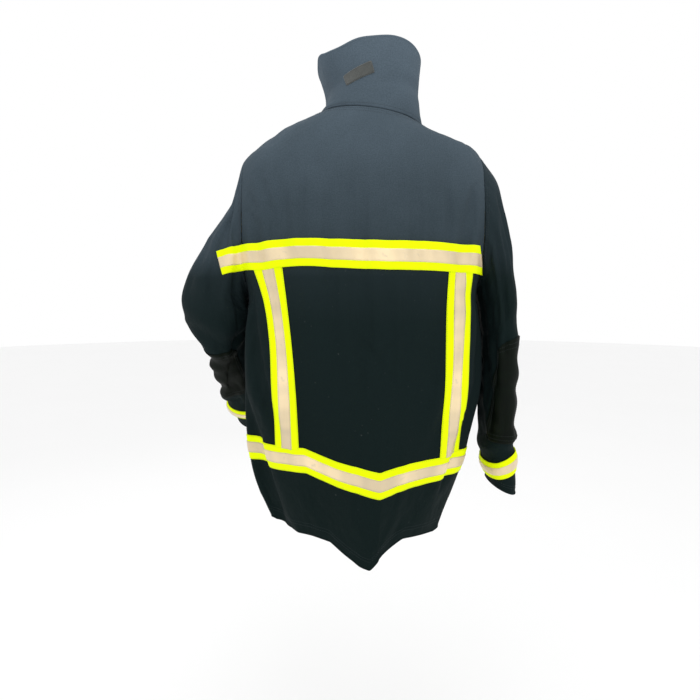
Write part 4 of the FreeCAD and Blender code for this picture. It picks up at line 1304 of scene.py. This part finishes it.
# ---- front closure ----
def closure_strip(name, x_low, x_high, like, out, thick, material, nx=9, nz=81, wave=0.0, lift=0.0):
    """Cloth parallel to the front closure, out in metres in front of it, as tall as a node of the frame."""
    z_low, z_high = (corner.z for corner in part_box(like))
    x, z = np.meshgrid(np.linspace(x_low, x_high, nx), np.linspace(z_low, z_high, nz))
    ripple = wave * (np.sin(z * 21 + 1.0) * np.sin(x * 60 + 0.7) + 0.6 * np.sin(z * 47 + x * 30))
    free = smooth((x_low + 0.022 - x) / 0.022) * lift
    P = np.stack([x, closure_y(z) - out * 1.005 + ripple - free, z], -1)
    return faced_sheet(name, P, thick, material, FORWARD, uv_of(x, z), x[0], z[:, 0])


flap, flap_surface = closure_strip("storm_flap_cloth", -0.042, 0.040, "storm_flap", 0.0100, 0.0036, NAVY,
                                   27, 221, 0.0006, 0.0010)
fix(fade_and_top_light_by_height(flap, 0.8), "storm_flap", "shell_fabric", "storm_flap")
low, high = (corner.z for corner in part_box("storm_flap"))
rows = [[(0.036, high - inset), (x, high - inset), (x, low + inset), (0.036, low + inset)]
        for x, inset in ((-0.038, 0.004), (-0.032, 0.010))]
rows += [[(x, high - inset), (x, low + inset)] for x, inset in ((0.034, 0.004), (0.030, 0.010))]
fix(stitches("storm_flap_stitches", seams(flap_surface, rows), THREAD), "storm_flap", "shell_fabric")
for name, x_low, x_high, body, out, thick, material in (
        ("storm_flap_hook_strip", -0.038, -0.018, "storm_flap", 0.0062, 0.0012, HOOKS),
        ("front_loop_strip", -0.039, -0.017, BODY, 0.0015, 0.0014, PILE)):
    strip, _ = closure_strip(name + "_pile", x_low, x_high, "front_loop_strip", out, thick, material)
    fix(strip, body, "hook_and_loop", name)
for side, x_low, x_high in (("left", 0.0022, 0.030), ("right", -0.030, -0.0022)):
    node = side + "_zip_tape"
    tape, _ = closure_strip(node + "_cloth", x_low, x_high, node, -0.0021, 0.0008, ZIP_TAPE, 9, 161)
    fix(tape, BODY, "webbing", node)

# throat tab over the collar front, with its hook-and-loop
FRONT_COLLAR = tree_of("collar_shell_cloth", "left_front_panel_cloth", "right_front_panel_cloth")
patch_box = (-0.070, -0.034, 0.021, 0.055)
for name, body, node, (x_low, x_high, z_low, z_high), out, thick, material, slot in (
        ("throat_loop_patch_pile", BODY, "throat_loop_patch", patch_box, 0.0016, 0.0014, PILE,
         "hook_and_loop"),
        ("throat_tab_hook_patch_pile", "throat_tab", "throat_tab_hook_patch", patch_box, 0.0058, 0.0011,
         HOOKS, "hook_and_loop"),
        ("throat_tab_cloth", "throat_tab", "throat_tab", (-0.074, 0.060, 0.014, 0.062), 0.0096, 0.0035, NAVY,
         "shell_fabric")):
    s, t = np.meshgrid(np.linspace(0, 1, 57), np.linspace(-1, 1, 25))
    rounded = t * (1 - 0.10 * (1 - s) ** 12)
    z = (z_low + z_high) / 2 + (z_high - z_low) / 2 * rounded
    P = cast(FRONT_COLLAR, x_low + (x_high - x_low) * s, z,
             False, out)
    P[..., 1] = soften(P[..., 1], 8)
    piece, grid = faced_sheet(name, P, thick, material, FORWARD, None, s[0], t[:, 0])
    if material is NAVY:
        fade_and_top_light_by_height(piece, 0.8)
        rows = seams(grid, [[(0.97, -0.84), (0.04, -0.84), (0.04, 0.84), (0.97, 0.84)]], 40)
        fix(stitches("throat_tab_stitches", rows, THREAD), body, slot)
    fix(piece, body, slot, node)


# ---- pockets and tabs ----
class Plane:
    """Working plane on the coat's front, placed from a joint's line: x across, out of the coat, z up."""

    def __init__(self, joint, out, up):
        across = -np.array(JOINTS[joint]["axis"])
        yaw, lean = math.atan2(across[1], across[0]), math.atan(FRONT_LEAN)
        sin, cos = math.sin(yaw), math.cos(yaw)
        self.across = np.array((cos, sin, 0.0))
        self.up = np.array((-sin * math.sin(lean), cos * math.sin(lean), math.cos(lean)))
        self.outward = np.array((sin * math.cos(lean), -cos * math.cos(lean), math.sin(lean)))
        self.origin = np.array(JOINTS[joint]["pos_m"]) - self.outward * out - self.up * up

    def at(self, x, out, z):
        """World points from local places."""
        x, out, z = (np.asarray(value, float)[..., None] for value in (x, out, z))
        return self.origin + x * self.across + out * self.outward + z * self.up

    def skin(self, x, z, trees):
        """How far out the coat's own surface lies at a local place."""
        out = np.empty(np.shape(x))
        for index in np.ndindex(out.shape):
            start = Vector(self.at(x[index], 0.05, z[index]))
            hits = [tree.ray_cast(start, Vector(-self.outward)) for tree in trees]
            near = [hit[3] for hit in hits if hit[0] is not None]
            out[index] = 0.05 - min(near) if near else -0.02
        return out


FRONT_TREES = FRONT_COLLAR[1:]
BAG_SIDE = np.array([0, 0.0045, 0.0005, 0.0045, 0.001])   # a bellows side, inward from the pocket's edge
BAG_SIDE_RISE = np.array([0, 0.25, 0.5, 0.75, 0.93])
BAG_FOOT = np.array([-0.001, 0.0, 0.0008, 0.002, 0.004])
BAG_FOOT_RISE = np.array([0, 0.3, 0.6, 0.85, 0.96])


def pocket(prefix, joint, up, half, depth, tall, drop, flap_body):
    """A bellows bag with its flap, stitches and hook-and-loop, on the plane of the flap's joint."""
    plane = Plane(joint, 0.0045, up)
    flat = np.linspace(-half + 0.006, half - 0.006, 31)
    x = np.concatenate([BAG_SIDE - half, flat, (half - BAG_SIDE)[::-1]])
    rise_x = np.concatenate([BAG_SIDE_RISE, np.ones(31), BAG_SIDE_RISE[::-1]])
    z = np.concatenate([BAG_FOOT - tall, np.linspace(-tall + 0.010, tall, 45)])
    rise_z = np.concatenate([BAG_FOOT_RISE, np.ones(45)])
    X, Z = np.meshgrid(x, z)
    skin = plane.skin(X[::7, ::4], Z[::7, ::4], FRONT_TREES)
    columns, lines = np.arange(len(x)), np.arange(len(z))
    skin = np.array([np.interp(columns, columns[::4], row) for row in skin])
    skin = np.stack([np.interp(lines, lines[::7], skin[:, k]) for k in columns], 1) + 0.0005
    rise = np.minimum(rise_x[None, :], rise_z[:, None])
    sag = smooth((-Z + tall - drop) / (tall * 0.8)) * np.cos(X / half * 1.35) ** 2
    bulge = 0.0035 * sag + 0.0008 * np.sin(X * 90 + Z * 40) * sag
    out = skin + (depth - 0.0006 - skin) * rise + bulge * (rise > 0.99)
    bag, bag_surface = faced_sheet(prefix + "_bag_cloth", plane.at(X, out, Z), 0.0020, NAVY, plane.outward,
                                   uv_of(X, Z))
    fix(fade_and_top_light_by_height(bag, 1.1), BODY, "shell_fabric", prefix + "_bag")
    rows = [[(0.15 + i * 0.3, 0.98), (0.15 + i * 0.3, 0.10 + i * 0.4), (0.85 - i * 0.3, 0.10 + i * 0.4),
             (0.85 - i * 0.3, 0.98)] for i in (0.10, 0.125)]
    fix(stitches(prefix + "_bag_stitches", seams(bag_surface, rows, 45), THREAD), BODY, "shell_fabric")
    front = depth + 0.0052
    profile = np.array([
        (tall + 0.0204, 0.0061), (tall + 0.0155, 0.0115), (tall + 0.0100, depth * 0.72),
        (tall + 0.0065, depth + 0.0040), (tall + 0.0020, front), (tall - 0.010, front),
        (tall - drop * 0.5, depth + 0.0050), (tall - drop * 0.85, front), (tall - drop, depth + 0.0056)])
    run = run_of(profile)
    fine = np.linspace(0, run[-1], 57)[:, None]
    X = np.linspace(-half - 0.005, half + 0.005, 41)[None, :]
    share = smooth((fine / run[-1] - 0.55) / 0.45)
    out = np.interp(fine, run, profile[:, 1]) + 0.0007 * np.sin(X * 70 + 1.0) * share
    Z = np.interp(fine, run, profile[:, 0]) + 0.014 * np.abs(X / (half + 0.005)) ** 10 * share
    flap, flap_surface = faced_sheet(prefix + "_flap_cloth", plane.at(X, out, Z), 0.0029, NAVY, plane.outward,
                                     uv_of(X, fine))
    fix(fade_and_top_light_by_height(flap, 1.15), flap_body, "shell_fabric", prefix + "_flap")
    rows = [[(i, 0.12), (i, 0.99 - i * 1.6), (1 - i, 0.99 - i * 1.6), (1 - i, 0.12)] for i in (0.035, 0.075)]
    fix(stitches(prefix + "_flap_stitches", seams(flap_surface, rows, 45), THREAD), flap_body, "shell_fabric")
    X, Z = np.meshgrid(np.linspace(-half * 0.6, half * 0.6, 21), tall - drop + np.linspace(0.026, 0.046, 9))
    for name, out, material, body, node in (
            ("_hook_pile", depth + 0.0019, HOOKS, flap_body, prefix + "_flap_hook_patch"),
            ("_loop_pile", depth + 0.0009, PILE, BODY, "pocket_loop_patches")):
        pile, _ = faced_sheet(prefix + name, plane.at(X, out, Z), 0.0008, material, plane.outward)
        fix(pile, body, "hook_and_loop", node)


for name in ("left_pocket", "right_pocket"):
    pocket(name, name + "_flap_lift", 0.122, 0.066, 0.025, 0.104, 0.084, name + "_flap")
pocket("radio_pocket", "radio_flap_lift", 0.068, 0.037, 0.022, 0.050, 0.046, "radio_flap")

# webbing tabs folded round the D-ring and the snap hook
for name, joint, length in (("d_ring_tab", "d_ring_swing", 0.034),
                            ("glove_hook_tab", "snap_hook_swing", 0.030)):
    plane = Plane(joint, 0.007, -0.002)
    path = np.array([(0.0029, length), (0.0029, 0.012), (0.0034, 0.004)]
                    + [(0.007 + 0.0044 * math.cos(a), -0.002 + 0.0044 * math.sin(a))
                       for a in np.radians(np.linspace(125, -150, 25))]
                    + [(0.0016, -0.0042), (0.0010, 0.002), (0.0010, 0.010)])[::-1]
    X = np.linspace(-0.010, 0.010, 15)[None, :]
    P = plane.at(X, path[:, :1], path[:, 1:])
    wrong = (normals(P)[-2] @ plane.outward).mean() < 0
    uv = uv_of(X, (run_of(path)[-1] - run_of(path))[:, None])
    fix(sheet(name + "_webbing", P, 0.0012, WEBBING, flip=wrong, uv=uv, soft=False), BODY, "webbing", name)
    rows = []
    for corners in ([(-0.007, 0.014), (0.007, length - 0.004)], [(0.007, 0.014), (-0.007, length - 0.004)],
                    [(-0.008, 0.012), (0.008, 0.012), (0.008, length - 0.002), (-0.008, length - 0.002),
                     (-0.008, 0.012)]):
        way = trace(corners, 20)
        line = plane.at(way[:, 0], 0.0031, way[:, 1])
        rows.append((line, np.broadcast_to(plane.outward, line.shape)))
    fix(stitches(name + "_stitches", rows, THREAD, 0.003, 0.0022, 0.0007), BODY, "webbing")

# ---- hem and seams ----
front_left, front_right = float(GAP[True](HEM)), float(GAP[False](HEM))
hem = strand("hem_binding", [TORSO.at(np.linspace(front_left, front_right, 401), HEM + 0.0004, -0.0009)],
             0.0019, NAVY, 8)
fix(fade_and_top_light_by_height(hem), BODY, "shell_fabric")
side_v = np.linspace(HEM + 0.002, ARMHOLE_LOW - 0.004, 160)
u_hem = np.linspace(front_left + 0.004, front_right - 0.004, 400)
u_back = np.linspace(0.27, 0.73, 200)
for name, rows, pitch in (
        ("left_side_seam", [seam(TORSO, 0.25 + step, side_v) for step in (0.003, 0.008)], 0.0046),
        ("right_side_seam", [seam(TORSO, 0.75 + step, side_v) for step in (0.003, 0.008)], 0.0046),
        ("hem", [seam(TORSO, u_hem, HEM + step) for step in (0.018, 0.024)], 0.005),
        ("neck_seam", [seam(TORSO, u_back, step) for step in (-0.005, -0.010)], 0.0042),
        ("collar_seam", [seam(COLLAR_SURFACE, u_back, 0.05, 0.0006)], 0.0042)):
    fix(stitches(name + "_stitches", rows, THREAD, pitch), BODY, "shell_fabric")
for side, (upper, forearm) in ARM.items():
    surface = SLEEVE[side]
    angle = np.linspace(0, TURN, 220)
    armhole, cuff_rows = ([seam(surface, angle, run) for run in runs]
                          for runs in ((0.006, 0.011), (surface.v[-1] - 0.012, surface.v[-1] - 0.017)))
    armhole = stitches(side + "_armhole_stitches", armhole, THREAD, 0.0046)
    bend(armhole, (BODY, upper), SHOULDER[side], "shell_fabric")
    fix(stitches(side + "_cuff_stitches", cuff_rows, THREAD, 0.0046), forearm, "shell_fabric")

# ---- finishes of the hardware kept from the frame ----
for material, names in (
        (BRASS, ("left_zip_teeth", "right_zip_teeth", "zip_bottom_box", "zip_slider", "zip_pull")),
        (STEEL, ("d_ring", "snap_hook", "snap_gate"))):
    for name in names:
        for slot in bpy.data.objects[name].material_slots:
            slot.material = material


# ---- camera, light and stage ----
def soft_light(name, place, target, size, power, colour):
    """A round area light aimed at a target."""
    data = bpy.data.lights.new(name, "AREA")
    data.shape = "DISK"
    data.size = size
    data.energy = power
    data.color = colour
    light = bpy.data.objects.new(name, data)
    bpy.context.scene.collection.objects.link(light)
    light.location = place
    light.rotation_euler = (Vector(target) - light.location).to_track_quat("-Z", "Y").to_euler()


SENSOR, FOCAL_SHARE, PITCH_DOWN = 36.0, 520.0 / 700.0, 5.67
camera = bpy.data.objects.new("camera", bpy.data.cameras.new("camera"))
bpy.context.scene.collection.objects.link(camera)
bpy.context.scene.camera = camera
camera.location = (0.025, 1.01, -0.354)
camera.data.sensor_width = SENSOR
camera.data.lens = SENSOR * FOCAL_SHARE
camera.rotation_euler = (math.pi / 2 - math.radians(PITCH_DOWN), 0.0, math.pi)

soft_light("top_light", (0.1, 0.55, 1.9), (0, 0, -0.3), 1.6, 10.0, (0.96, 0.98, 1.0))
soft_light("back_fill", (-0.9, 1.9, 0.5), (0, 0, -0.35), 1.8, 5.0, (1.0, 0.99, 0.97))
soft_light("front_fill", (0.9, -2.0, 0.9), (0, 0, -0.35), 1.8, 6.0, (1.0, 0.99, 0.98))

bpy.context.scene.view_settings.view_transform = "Standard"
world = bpy.data.worlds.new("studio")
bpy.context.scene.world = world
world.use_nodes = True
background = world.node_tree.nodes["Background"].inputs
background["Color"].default_value = (1.0, 1.0, 1.0, 1.0)
background["Strength"].default_value = 1.0

bpy.ops.mesh.primitive_circle_add(vertices=96, radius=14.0, fill_type="NGON", location=(0, 0, -1.50))
floor = bpy.context.object
floor.name = "floor"
floor.data.materials.append(plain_stage("pale_floor", (0.93, 0.93, 0.93), 0.95))
